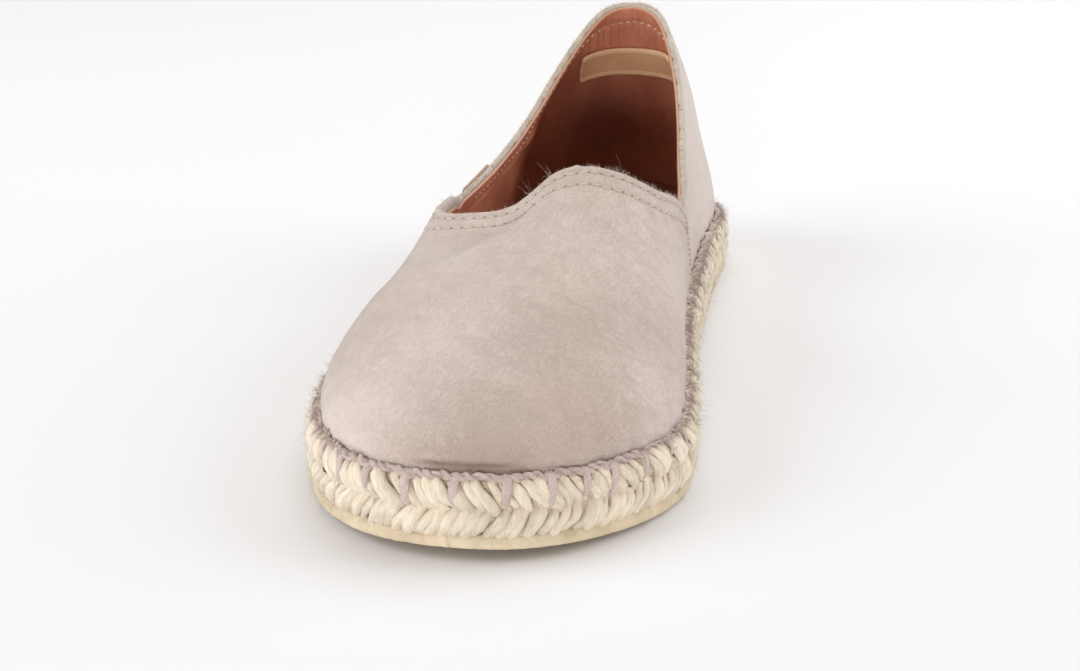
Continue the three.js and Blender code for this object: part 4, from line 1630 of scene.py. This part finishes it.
    def lining(self) -> tuple[Draft, Sheet, EdgeLine]:
        """The leather lining, seen from inside, gathered at the top of the heel.

        Returns:
            The finished draft, the sheet and its free edge.
        """
        u = graded(80, 0.6)
        grids = []
        for side in Side:
            vamp = self.pattern.vamp(side, 30, 44, 1.5)
            quarter = self.pattern.quarter(side, 110, 1.1, 0.0)
            columns = tuple(np.concatenate([a, b[1:]]) for a, b in zip(vamp, quarter))
            points, values, turned = self.pattern.grid(side, columns, u, self.lining_edge)
            grids.append((points, values, not turned))
        sheet = self.shaped(Sheet(grids), -0.8)
        edge = sheet.edge_line(sheet.values["roll"])
        far = edge.distance(sheet.points)
        hem, reach = self.lining_hem
        depth = self.lining_depth + hem * np.exp(-((far / reach) ** 2))
        t = sheet.values["t"]
        x = sheet.points[:, 0]
        back = ease((t - 0.9) / 0.06)
        beat = np.sin(x * 2.55 + 0.8 * np.sin(x * 0.9)) + 0.6 * np.sin(x * 4.3 + 1.3)
        pleat = beat * np.exp(-(((far - 8.0) / 5.0) ** 2)) * back * 0.65
        row = np.exp(-(((far - 4.4) / 0.8) ** 2)) * ease((t - 0.56) / 0.03)
        sag = self.sag.height(sheet.points)
        sheet.points = sheet.points + sheet.normals() * (depth + pleat - row * 0.25 + sag)[:, None]
        sheet.values["tight"] = row
        # Painted shade deep inside the heel, kept as the lay value.
        sheet.values["lay"] = np.clip(sum(patch.shade(sheet.points) for patch in self.wear_and_painted_shade), 0, 1)
        edge = sheet.edge_line(sheet.values["roll"])
        roll = Roll(steps=6, square=2.6, tuck=1.5, tuck_steps=1)
        return sheet.finished(sheet.values["roll"], roll), sheet, edge

    def fluff(self, edge: EdgeLine, below: float) -> tuple[Array, Array]:
        """Roots and directions of the fibres on a cut edge.

        Args:
            edge: The cut edge.
            below: How far the fibres lean out of the sheet.

        Returns:
            Roots and directions.
        """
        depths = (0.2, 0.7, 1.2)
        roots = np.concatenate([edge.points + edge.off * 0.6 - edge.normals * deep for deep in depths])
        ways = np.tile(edge.off + edge.normals * below, (len(depths), 1))
        return roots, ways

    def build(self) -> None:
        """Makes every piece of the upper."""
        finishes = self.finishes
        draft, sheet, edge = self.vamp()
        draft.piece("vamp", finishes.suede, Slot.UPPER, "upper")
        tree = sheet.tree()
        threads, hole_shades = [], []
        for seed, row in enumerate(self.rows(), 5):
            threads.append(Stitching(row, 3.0, 2.1, 0.2, 0.16, 3.0, 3.0, seed).sew(edge, tree))
            # Dark bits between the stitches: painted shade in the stitch holes.
            hole_shades.append(Stitching(row, 3.0, 0.95, 0.17, 0.2, 5.08, 3.0, seed).sew(edge, tree))
        Draft.joined(threads).piece("vamp_stitches", finishes.thread, Slot.UPPER)
        Draft.joined(hole_shades).piece("vamp_painted_hole_shade", finishes.hole_shade, Slot.UPPER)
        roots, ways = self.fluff(edge, 0.4)
        hairs = Fluff(1500, (0.5, 1.3), (0.03, 0.05), 0.5, 11).grow(roots, ways)
        long = Fluff(16, (1.0, 3.0), (0.02, 0.035), 1.1, 12, 9).grow(*self.tufts(edge))
        Draft.joined([hairs, long]).piece("vamp_wisps", finishes.wisp, Slot.UPPER)
        draft, sheet, edge = self.quarter()
        draft.piece("quarter", finishes.cut_suede, Slot.UPPER)
        root, normal, _, _ = sheet.tree().find_nearest(Vector(self.loose_end))
        root = np.array([root], float) - 0.3 * np.array([normal], float)
        tuft = Fluff(7, (5.2, 6.6), (0.13, 0.2), 0.12, 14, spread=0.09)
        tuft.grow(root, np.array([[1.0, 0.05, 0.12]])).piece("thread_tuft", finishes.frayed, Slot.UPPER)
        roots, ways = self.fluff(edge, 0.5)
        hairs = Fluff(3200, (0.4, 1.1), (0.03, 0.05), 0.5, 13).grow(roots, ways)
        hairs.piece("quarter_wisps", finishes.wisp, Slot.UPPER)
        draft, sheet, edge = self.lining()
        draft.piece("lining", finishes.lining, Slot.UPPER)
        tree = sheet.tree()
        heel = Stitching(4.4, 2.7, 1.4, 0.26, 0.12, start=118.0, end=152.0, seed=9).sew(edge, tree)
        side = Stitching(2.0, 2.7, 0.9, 0.17, 0.12, start=198.0, end=86.0, seed=10).sew(edge, tree)
        Draft.joined([heel, side]).piece("lining_stitches", finishes.dots, Slot.UPPER)

    def tufts(self, edge: EdgeLine) -> tuple[Array, Array]:
        """A few longer wisps at the throat.

        Args:
            edge: The vamp's edge.

        Returns:
            Roots and directions.
        """
        picks = []
        for place, count in self.tuft_places:
            far = np.linalg.norm(edge.points - np.array(place), axis=1)
            picks += [int(far.argmin())] * count
        pick = np.array(picks)
        return edge.points[pick] + edge.off[pick] * 1.1, edge.off[pick] + np.array([-0.4, 0.0, 0.7])


@dataclass
class RopeSole:
    """Braided rope sole: slanting strands in two rows, sewn to the upper with blanket stitches."""

    last: Last
    loop: Loop
    finishes: Finishes
    pitch: float = 10.24
    phase: float = 1.0
    yarns: int = 4
    upper_slant: float = 5.6
    lower_slant: float = 4.8
    seed: int = 21
    profile: SizeCurve = SizeCurve(
        (-0.1, 0.09, 0.25, 0.43, 0.62, 0.82, 0.96, 1.0), (0.9, 0.5, 0.2, 0.9, 0.1, 0.3, 1.5, 2.6)
    )
    front_bars: tuple[float, ...] = (-20.3, -9.9, 1.0, 12.2, 22.2, 30.8, 38.6)

    def bars(self) -> Array:
        """Running lengths of the blanket stitches, the ones at the toe as photographed.

        Returns:
            Rising running lengths.
        """
        count = round(self.loop.length / self.pitch)
        start, end = self.front_bars[0], self.front_bars[-1]
        rest = count - len(self.front_bars) + 1
        others = np.linspace(end, start + self.loop.length, rest + 1)[1:-1]
        rng = np.random.default_rng(self.seed)
        return np.concatenate([self.front_bars, others + rng.normal(0, 0.35, len(others))])

    def height(self, share: Array) -> Array:
        """Height above the floor for a share of the rope sole's height."""
        bottom = self.last.tread + self.last.gap
        return bottom + (self.last.sole - bottom) * share

    def pinch(self, s: Array, bars: Array) -> Array:
        """How much the strands are drawn in near a blanket stitch, 0 to 1.

        Args:
            s: Running lengths round the outline.
            bars: Running lengths of the blanket stitches.

        Returns:
            Shares from 0 to 1.
        """
        wrapped = np.concatenate([bars - self.loop.length, bars, bars + self.loop.length])
        far = np.abs(s[..., None] - wrapped).min(-1)
        return np.exp(-((far / 1.7) ** 2))

    def upper_row(self, bars: Array, rng: np.random.Generator) -> Draft:
        """Fine yarns of the upper row, several between two stitches, slanting down to the heel.

        Args:
            bars: Running lengths of the blanket stitches.
            rng: Random numbers.

        Returns:
            A draft of the yarns.
        """
        after = np.append(bars[1:], bars[0] + self.loop.length)
        tops = bars[:, None] + (after - bars)[:, None] * (np.arange(self.yarns) + 0.3)[None] / self.yarns
        tops = tops.ravel() + rng.normal(0, 0.28, tops.size)
        k = np.linspace(0, 1, 15)[None]
        slant = self.upper_slant + rng.normal(0, 0.85, (len(tops), 1))
        s = tops[:, None] - 2.4 + slant * k + self.waver(k, len(tops), 0.34, rng)
        start = 0.99 + rng.normal(0, 0.02, (len(tops), 1))
        share = start - 0.62 * k**1.05 - 0.05 * self.pinch(s, bars) * (1 - k)
        rise = np.sin(np.pi * np.clip(k, 0.03, 0.97)) ** 0.45
        inset = self.profile(share) + 0.95 - 0.3 * rise + self.pinch(s, bars) * 1.2
        inset = inset + rng.normal(0, 0.24, (len(tops), 1)) + 1.2 * (1 - rise)
        centre = self.loop.place(s, self.height(share), inset)
        wide = (1.32 + rng.normal(0, 0.2, (len(tops), 1))) * (0.55 + 0.45 * rise)
        wide = wide * (1 + self.waver(k, len(tops), 0.13, rng))
        yarn = Yarn(around=12, twist=0.22, plies=7, ply_depth=0.2)
        return yarn.lay(centre, self.tilted(s, share), wide, wide * 0.82, rng)

    @staticmethod
    def waver(k: Array, count: int, amount: float, rng: np.random.Generator) -> Array:
        """Slow uneven swing along each of some strands."""
        phase = rng.uniform(0, 6.3, (count, 1))
        return amount * np.sin(k * rng.uniform(3.0, 7.5, (count, 1)) + phase)

    def lower_row(self, rng: np.random.Generator) -> Draft:
        """Strands of the lower row, slanting the other way.

        Args:
            rng: Random numbers.

        Returns:
            A draft of the strands.
        """
        count = round(self.loop.length / self.pitch) * 4
        starts = np.arange(count) * self.loop.length / count + rng.normal(0, 0.34, count)
        k = np.linspace(0, 1, 13)[None]
        slant = self.lower_slant + rng.normal(0, 0.85, (count, 1))
        s = starts[:, None] + slant * k + self.waver(k, count, 0.34, rng)
        share = -0.07 + 0.56 * k + rng.normal(0, 0.02, (count, 1)) * (1 - 0.6 * k)
        rise = np.sin(np.pi * np.clip(k, 0.04, 0.96)) ** 0.45
        group = (np.arange(count) % 2)[:, None]
        inset = self.profile(share) + 1.0 - 0.3 * rise + 0.9 * (1 - rise) + group * 0.3
        centre = self.loop.place(s, self.height(share), inset + rng.normal(0, 0.2, (count, 1)))
        wide = (1.36 + rng.normal(0, 0.2, (count, 1))) * (0.6 + 0.4 * rise)
        wide = wide * (1 + self.waver(k, count, 0.13, rng))
        yarn = Yarn(around=12, twist=-0.2, plies=7, ply_depth=0.2)
        return yarn.lay(centre, self.tilted(s, share), wide, wide * 0.85, rng)

    def tilted(self, s: Array, share: Array) -> Array:
        """Directions out of the side of the sole, leaning up near its top and down near its foot.

        Args:
            s: Running lengths round the outline.
            share: Shares of the rope sole's height.

        Returns:
            Unit vectors.
        """
        out = self.loop.out(s)
        lean = np.broadcast_to((share - 0.5) * 1.3, s.shape)
        return unit(out + np.stack([np.zeros_like(lean)] * 2 + [lean], -1))

    def core(self) -> Draft:
        """The wall behind the strands and the ledge that carries the upper.

        Returns:
            A draft of the wall.
        """
        share = np.array([0.0, 0.1, 0.25, 0.43, 0.62, 0.82, 0.95, 0.985, 0.985])
        inset = np.array([2.9, 2.0, 1.7, 2.2, 1.7, 1.9, 2.7, 3.6, 12.0])
        s = np.linspace(0, self.loop.length, 601)[:-1]
        points = self.loop.place(s[:, None], self.height(share)[None], inset[None])
        faces = grid_faces(len(s), len(share), closed=True)[:, [0, 3, 2, 1]]
        where = np.stack(np.broadcast_arrays(s[:, None] * 0.6, self.height(share)[None], s[:, None]), -1)
        values = {"fibre": where.reshape(-1, 3), "tone": np.full(points.shape[0] * len(share), 0.4)}
        return Draft(points.reshape(-1, 3), faces, values)

    def blanket(self, bars: Array, rng: np.random.Generator) -> Draft:
        """Blanket stitches: a bar over the strands at each stitch and a run along the feather line.

        Args:
            bars: Running lengths of the blanket stitches.
            rng: Random numbers.

        Returns:
            A draft of the yarn.
        """
        share = np.array([1.03, 1.02, 0.97, 0.88, 0.76, 0.64, 0.54, 0.46, 0.42])
        inset = np.array([2.5, 2.0, 1.2, 0.6, 0.4, 0.45, 0.7, 1.3, 2.3])
        lean = np.linspace(0.25, -0.35, len(share))
        tilt = lean[None] * 1.2 + rng.normal(0, 0.3, (len(bars), 1)) * np.linspace(-0.5, 1, len(share))[None]
        fine = np.linspace(0, len(share) - 1, 21)
        s = bars[:, None] + np.array([np.interp(fine, np.arange(len(share)), row) for row in tilt])
        share, inset = (np.interp(fine, np.arange(len(row)), row)[None] for row in (share, inset))
        beside = self.beside(bars)[:, None]
        length = rng.uniform(0.74, 1.06, (len(bars), 1)) * (1 - 0.35 * beside)
        share = 1.03 - (1.03 - share) * length
        centre = self.loop.place(s, self.height(share), inset + 0.1 + 0.35 * beside)
        wide = 0.98 - 0.5 * beside + rng.normal(0, 0.12, (len(bars), 1)) * (1 - 0.5 * beside)
        wide = wide * np.interp(fine, [0, 3, 12, 20], [1.1, 1.0, 0.85, 0.4])[None]
        yarn = Yarn(around=12, twist=0.9, plies=2, ply_depth=0.22)
        drops = yarn.lay(centre, self.tilted(s, share), wide, wide * 0.62, rng)
        s = np.linspace(0, self.loop.length, 1201)[None]
        dip = self.pinch(s, bars)
        wave = 0.12 * np.sin(s * 1.1) + 0.1 * np.sin(s * 2.3 + 1)
        turn = s * 2 * np.pi / 5.3 + 0.8 * np.sin(s * 0.37)
        turn = np.concatenate([turn, turn + np.pi])
        rise = self.height(1.03 - 0.05 * dip) + wave + 0.42 * np.sin(turn)
        beside = self.beside(s)
        centre = self.loop.place(s, rise, 2.4 + 1.0 * beside - 0.5 * dip + wave + 0.42 * np.cos(turn))
        thick = (0.5 + 0.16 * dip + 0.07 * np.sin(s * 1.7 + 2)) * (1 - 0.38 * beside)
        out = self.tilted(s, np.full_like(s, 1.2))
        strand = Yarn(around=8, twist=1.6, plies=2, ply_depth=0.25)
        out = np.broadcast_to(out, centre.shape)
        return Draft.joined([drops, strand.lay(centre, out, thick * 1.1, thick, rng)])

    def beside(self, s: Array) -> Array:
        """0 round the toe, 1 along the sides and heel, where the yarn is finer and pulled in."""
        wrapped = (s + self.loop.length / 2) % self.loop.length - self.loop.length / 2
        return ease((np.abs(wrapped - 6.0) - 34.0) / 20.0)

    def fuzz(self) -> Draft:
        """Loose fibres all round the rope, with more of them over the tread.

        Returns:
            A draft of the hairs.
        """
        rng = np.random.default_rng(self.seed + 5)
        places = 6000
        s = rng.uniform(0, self.loop.length, places)
        low = rng.uniform(0, 1, places) < 0.25
        share = np.where(low, rng.uniform(-0.06, 0.06, places), rng.uniform(0.02, 0.98, places))
        roots = self.loop.place(s, self.height(share), self.profile(np.clip(share, 0, 1)) + 0.3)
        along = np.cross(self.loop.out(s), [0.0, 0.0, 1.0]) * rng.normal(0, 1.2, (places, 1))
        ways = self.tilted(s, share) * 0.5 + along + np.array([0.0, 0.0, -0.2])
        short = Fluff(4600, (0.8, 2.8), (0.03, 0.055), 0.7, 31, 5).grow(roots, ways)
        long = Fluff(130, (3.0, 6.0), (0.03, 0.05), 0.9, 32, 5).grow(roots, ways)
        return Draft.joined([short, long])

    def lint(self, bars: Array) -> Draft:
        """Short wool on the blanket yarn.

        Args:
            bars: Running lengths of the blanket stitches.

        Returns:
            A draft of the hairs.
        """
        rng = np.random.default_rng(self.seed + 9)
        places = 3000
        run = rng.uniform(0, self.loop.length, places)
        drop = rng.uniform(0, 1, places) < 0.3 - 0.25 * self.beside(run)
        s = np.where(drop, rng.choice(bars, places) + rng.normal(0, 0.5, places), run)
        share = np.where(drop, rng.uniform(0.5, 1.0, places), 1.035 + rng.normal(0, 0.03, places))
        roots = self.loop.place(s, self.height(share), np.where(drop, 0.4, 2.0 + rng.normal(0, 0.3, places)))
        ways = self.tilted(s, np.full(places, 0.9)) + rng.normal(0, 0.6, (places, 3))
        return Fluff(5600, (0.5, 1.9), (0.04, 0.07), 0.9, 33, 5).grow(roots, ways)

    def build(self) -> None:
        """Makes every piece of the rope sole."""
        rng = np.random.default_rng(self.seed)
        bars = self.bars()
        self.core().piece("rope_core", self.finishes.core, Slot.JUTE, "jute_sole")
        self.upper_row(bars, rng).piece("upper_strands", self.finishes.jute, Slot.JUTE)
        self.lower_row(rng).piece("lower_strands", self.finishes.jute, Slot.JUTE)
        self.blanket(bars, rng).piece("blanket_stitches", self.finishes.blanket, Slot.JUTE)
        self.fuzz().piece("rope_fibres", self.finishes.jute, Slot.JUTE)
        self.lint(bars).piece("blanket_lint", self.finishes.blanket, Slot.JUTE)


@dataclass
class Tread:
    """Thin rubber tread with a slightly ragged rim."""

    last: Last
    loop: Loop
    finishes: Finishes
    stations: int = 1400
    seed: int = 41

    def build(self) -> None:
        """Makes the tread."""
        share = np.array([1.0, 1.0, 0.92, 0.7, 0.45, 0.2, 0.05, 0.0, 0.0])
        inset = np.array([4.0, 1.9, 1.5, 1.05, 0.75, 0.55, 0.7, 1.3, 3.5])
        rng = np.random.default_rng(self.seed)
        s = np.linspace(0, self.loop.length, self.stations + 1)[:-1]
        ragged = self.ragged(s, rng)
        edge = np.exp(-(((share - 0.35) / 0.35) ** 2)) * (inset < 3)
        push = ragged[:, None] * edge[None] + rng.normal(0, 0.05, (len(s), len(share)))
        wear_and_painted_shade = (1 - share)[None] * np.clip(ragged, 0, 1)[:, None] * 0.5 * (share > 0)
        points = self.loop.place(s[:, None], self.last.tread * share[None] + wear_and_painted_shade * edge, inset[None] - push)
        faces = grid_faces(len(s), len(share), closed=True)
        wall = Draft(points.reshape(-1, 3), faces, {"under": np.tile((share < 0.02) * 1.0, len(s))})
        plate = self.plate(points[:, -1])
        wall.piece("tread", self.finishes.rubber, Slot.OUTSOLE, "outsole")
        plate.piece("tread_underside", self.finishes.rubber, Slot.OUTSOLE)

    @staticmethod
    def ragged(s: Array, rng: np.random.Generator) -> Array:
        """Small uneven steps of the trimmed rim.

        Args:
            s: Running lengths round the outline.
            rng: Random numbers.

        Returns:
            Outward moves in millimetres.
        """
        wave = sum(np.sin(s * k + rng.uniform(0, 6)) / k**0.5 for k in (0.31, 0.83, 1.7, 3.9, 7.3))
        chips = np.interp(s, np.linspace(s[0], s[-1], 420), rng.uniform(-1, 1, 420))
        return 0.1 * wave + 0.22 * chips

    def plate(self, rim: Array) -> Draft:
        """The flat underside inside its rim, in strips from side to side.

        Args:
            rim: Points of the wall's inner rim, in order.

        Returns:
            A draft of the underside.
        """
        half = len(rim) // 2
        right, left = rim[: half + 1], np.concatenate([rim[:1], rim[half:][::-1]])[: half + 1]
        across = 13
        v = np.linspace(0, 1, across)[None, :, None]
        points = right[:, None] * (1 - v) + left[:, None] * v
        points[..., 2] = self.last.lift(points[..., 1])
        faces = grid_faces(len(points), across)
        return Draft(points.reshape(-1, 3), faces, {"under": np.ones(len(points) * across)})


@dataclass
class Footbed:
    """Leather covered insole, slightly dished under the heel and ball."""

    last: Last
    finishes: Finishes
    thickness: float = 3.0
    inset: float = 6.9

    def build(self) -> None:
        """Makes the footbed."""
        w = graded(150, 0.3)
        v = np.linspace(-1, 1, 61)
        sides = [
            self.last.outline(w, side) - self.last.outward(w, side) * self.inset
            for side in (Side.OUTER, Side.INNER)
        ]
        share = (v + 1) / 2
        flat = sides[0][:, None] * (1 - share)[None, :, None] + sides[1][:, None] * share[None, :, None]
        end = np.minimum(w, 1 - w)[:, None] * 90
        rim = np.minimum(1 - np.abs(v)[None], end * 0.5)
        edge = 1 - (1 - np.clip(rim / 0.06, 0, 1)) ** 2
        t = flat[..., 1] / self.last.length + 0.5
        dish = 0.35 * np.exp(-(((t - 0.86) / 0.08) ** 2)) + 0.25 * np.exp(-(((t - 0.3) / 0.12) ** 2))
        dish = dish * (1 - v[None] ** 2)
        z = self.last.sole + self.last.gap + self.thickness * (0.45 + 0.55 * edge) - dish
        z = z + self.last.lift(flat[..., 1])
        points = np.stack([flat[..., 0] + self.last.centre_x, flat[..., 1], z], -1)
        draft = Draft(points.reshape(-1, 3), grid_faces(len(w), len(v)))
        draft.piece("footbed", self.finishes.footbed, Slot.INSOLE, "insole")


@dataclass
class WallPatch:
    """A strap or tab that lies along the wall of the quarter."""

    last: Last
    place: Callable[[Array], tuple[Array, Array]]
    bottom: Callable[[Array, Array], Array]
    top: Callable[[Array, Array], Array]
    out: float
    radius: float
    inward: bool
    columns: int = 80
    rows: int = 24
    hem: float = 0.0
    skew: float = 0.0

    def draft(self) -> Draft:
        """The patch with rounded edges; its value named hem is 1 on the hems.

        Returns:
            The finished draft.
        """
        s = np.linspace(0, 1, self.columns + 1)
        w, side = self.place(s)
        v = graded(self.rows, 0.4)
        lines = []
        for one, way, share in zip(w, side, s):
            heights = self.bottom(one, way) + (self.top(one, way) - self.bottom(one, way)) * v
            walk = one + way * self.skew * ease((share - 0.6) / 0.4) * (v - 0.5)
            angle = self.last.angle_at(walk, int(way), heights)
            lines.append(self.last.surface(walk, int(way), angle))
        points = np.array(lines)
        hems = 1 - ease((np.minimum(v, 1 - v) - 0.1) / 0.04) if self.hem else np.zeros_like(v)
        edge = np.zeros(points.shape[:2])
        edge[0], edge[-1], edge[:, 0], edge[:, -1] = (self.radius,) * 4
        values = {"hem": np.broadcast_to(hems, points.shape[:2]).copy(), "roll": edge}
        sheet = Sheet([(points, values, self.inward)])
        depth = self.out + self.hem * sheet.values["hem"]
        sheet.points = sheet.points + sheet.normals() * np.reshape(depth, (-1, 1))
        return sheet.finished(sheet.values["roll"], Roll(steps=6, square=2.6, tuck=1.0, tuck_steps=1))


@dataclass
class Trims:
    """The strap inside the heel and the bare tab on the outer side."""

    last: Last
    finishes: Finishes
    band_from: tuple[float, float] = (0.912, 0.946)
    band_height: tuple[float, float] = (56.0, 65.0)
    band_drop: float = 1.8
    tab_from: tuple[float, float] = (0.596, 0.652)
    tab_drop: float = 1.2
    tab_height: float = 11.0

    def band_place(self, s: Array) -> tuple[Array, Array]:
        """Walks and sides round the inside of the heel.

        Args:
            s: Shares of the strap's length.

        Returns:
            Walks and sides.
        """
        start, end = self.last.walk(self.band_from[0]), 2 - self.last.walk(self.band_from[1])
        turn = start + (end - start) * s
        return np.where(turn <= 1, turn, 2 - turn), np.where(turn <= 1, 1, -1)

    def droop(self, w: Array, side: Array) -> Array:
        """How much lower the strap runs towards its outer end."""
        share = (1 - w) / (1 - self.last.walk(self.band_from[1]))
        return self.band_drop * share**2 * (side < 0)

    def tab_place(self, s: Array) -> tuple[Array, Array]:
        """Walks and sides along the tab."""
        start, end = self.last.walk(self.tab_from[1]), self.last.walk(self.tab_from[0])
        return start + (end - start) * s, np.full(len(s), -1)

    def build(self) -> None:
        """Makes both trims."""
        low, high = self.band_height
        band = WallPatch(
            self.last,
            self.band_place,
            lambda w, side: low + 0.5 - self.droop(w, side),
            lambda w, side: high - 0.5 - self.droop(w, side),
            4.85,
            0.55,
            True,
            hem=0.15,
            skew=0.02,
        )
        band.draft().piece("heel_strap", self.finishes.webbing, Slot.HEEL_BAND, "heel_band")
        top = self.tab_drop + 0.5
        bottom = self.tab_drop + self.tab_height - 0.5
        tab = WallPatch(
            self.last,
            self.tab_place,
            lambda w, side: self.last.collar(w, int(side)) - bottom,
            lambda w, side: self.last.collar(w, int(side)) - top,
            0.55,
            0.5,
            False,
            columns=30,
        )
        tab.draft().piece("bare_tab", self.finishes.tab, Slot.SIDE_TAB, "side_tab")


@dataclass
class Studio:
    """Pale floor, soft light and the camera at the photograph's angle."""

    finishes: Finishes
    azimuth: float = -9.789
    elevation: float = 17.791
    roll: float = 0.571
    distance: float = 522.0
    target: tuple[float, float, float] = (1.67, -18.63, 20.0)
    focal: float = 2041.0
    centre: tuple[float, float] = (549.636, 308.769)
    frame_size: tuple[int, int] = (1080, 671)
    sensor: float = 36.0

    def camera(self) -> None:
        """Camera that was fitted to the photograph's outlines."""
        a, e, r = np.radians([self.azimuth, self.elevation, self.roll])
        ahead = np.array([np.sin(a) * np.cos(e), np.cos(a) * np.cos(e), -np.sin(e)])
        right = np.array([np.cos(a), -np.sin(a), 0.0])
        up = np.cross(right, ahead)
        across = right * np.cos(r) + up * np.sin(r)
        above = -right * np.sin(r) + up * np.cos(r)
        where = (np.array(self.target) - ahead * self.distance) * MM
        data = bpy.data.cameras.new("camera")
        data.sensor_width = self.sensor
        wide, high = self.frame_size
        data.lens = self.focal / wide * self.sensor
        data.shift_x = (wide / 2 - self.centre[0]) / wide
        data.shift_y = (self.centre[1] - high / 2) / wide
        data.clip_start, data.clip_end = 0.02, 20.0
        camera = bpy.data.objects.new("camera", data)
        turn = Matrix((across.tolist(), above.tolist(), (-ahead).tolist())).transposed()
        camera.matrix_world = Matrix.Translation(Vector(where)) @ turn.to_4x4()
        bpy.context.scene.collection.objects.link(camera)
        bpy.context.scene.camera = camera

    def softbox(self, name: str, place: Colour, size: float, power: float, colour: Colour) -> None:
        """A square area light aimed at the shoe.

        Args:
            name: Name of the light.
            place: Where it stands, in metres.
            size: Its side in metres.
            power: Its power in watts.
            colour: Its colour.
        """
        data = bpy.data.lights.new(name, "AREA")
        data.size, data.energy, data.color = size, power, colour
        light = bpy.data.objects.new(name, data)
        light.location = place
        aim = Vector((0.0, 0.0, 0.03)) - Vector(place)
        light.rotation_euler = aim.to_track_quat("-Z", "Y").to_euler()
        bpy.context.scene.collection.objects.link(light)

    def build(self) -> None:
        """Makes the floor, lights and camera."""
        mesh = bpy.data.meshes.new("floor")
        half = 6.0
        corners = [(-half, -half, 0), (half, -half, 0), (half, half, 0), (-half, half, 0)]
        mesh.from_pydata(corners, [], [(0, 1, 2, 3)])
        floor = bpy.data.objects.new("floor", mesh)
        floor.data.materials.append(self.finishes.floor)
        bpy.context.scene.collection.objects.link(floor)
        world = bpy.data.worlds.new("studio")
        world.use_nodes = True
        tree = Tree(world.node_tree)
        seen = tree.add("LightPath").outputs["Is Camera Ray"]
        shade = tree.blend(seen, (0.40, 0.33, 0.26), (0.93, 0.93, 0.94))
        world.node_tree.links.new(shade, world.node_tree.nodes["Background"].inputs["Color"])
        bpy.context.scene.world = world
        self.softbox("left", (-1.1, -0.45, 0.7), 1.1, 12.0, (0.93, 1.0, 1.07))
        self.softbox("right", (1.1, 0.45, 0.6), 1.1, 10.5, (0.93, 1.0, 1.07))
        self.softbox("top", (0.1, 0.85, 1.45), 1.5, 15.0, (0.93, 1.0, 1.07))
        self.softbox("front", (0.12, -1.3, 0.12), 0.22, 7.0, (0.98, 0.99, 1.0))
        bpy.context.scene.view_settings.view_transform = "Standard"
        self.camera()


def main() -> None:
    """Builds the shoe's sub-assemblies in order, then the studio."""
    logging.basicConfig(level=logging.INFO, format="%(name)s %(message)s")
    last = Last()
    loop = Loop(last)
    finishes = Finishes()
    Tread(last, loop, finishes).build()
    RopeSole(last, loop, finishes).build()
    Footbed(last, finishes).build()
    Upper(last, Pattern(last), loop, finishes).build()
    Trims(last, finishes).build()
    Studio(finishes).build()


if __name__ == "__main__":
    main()
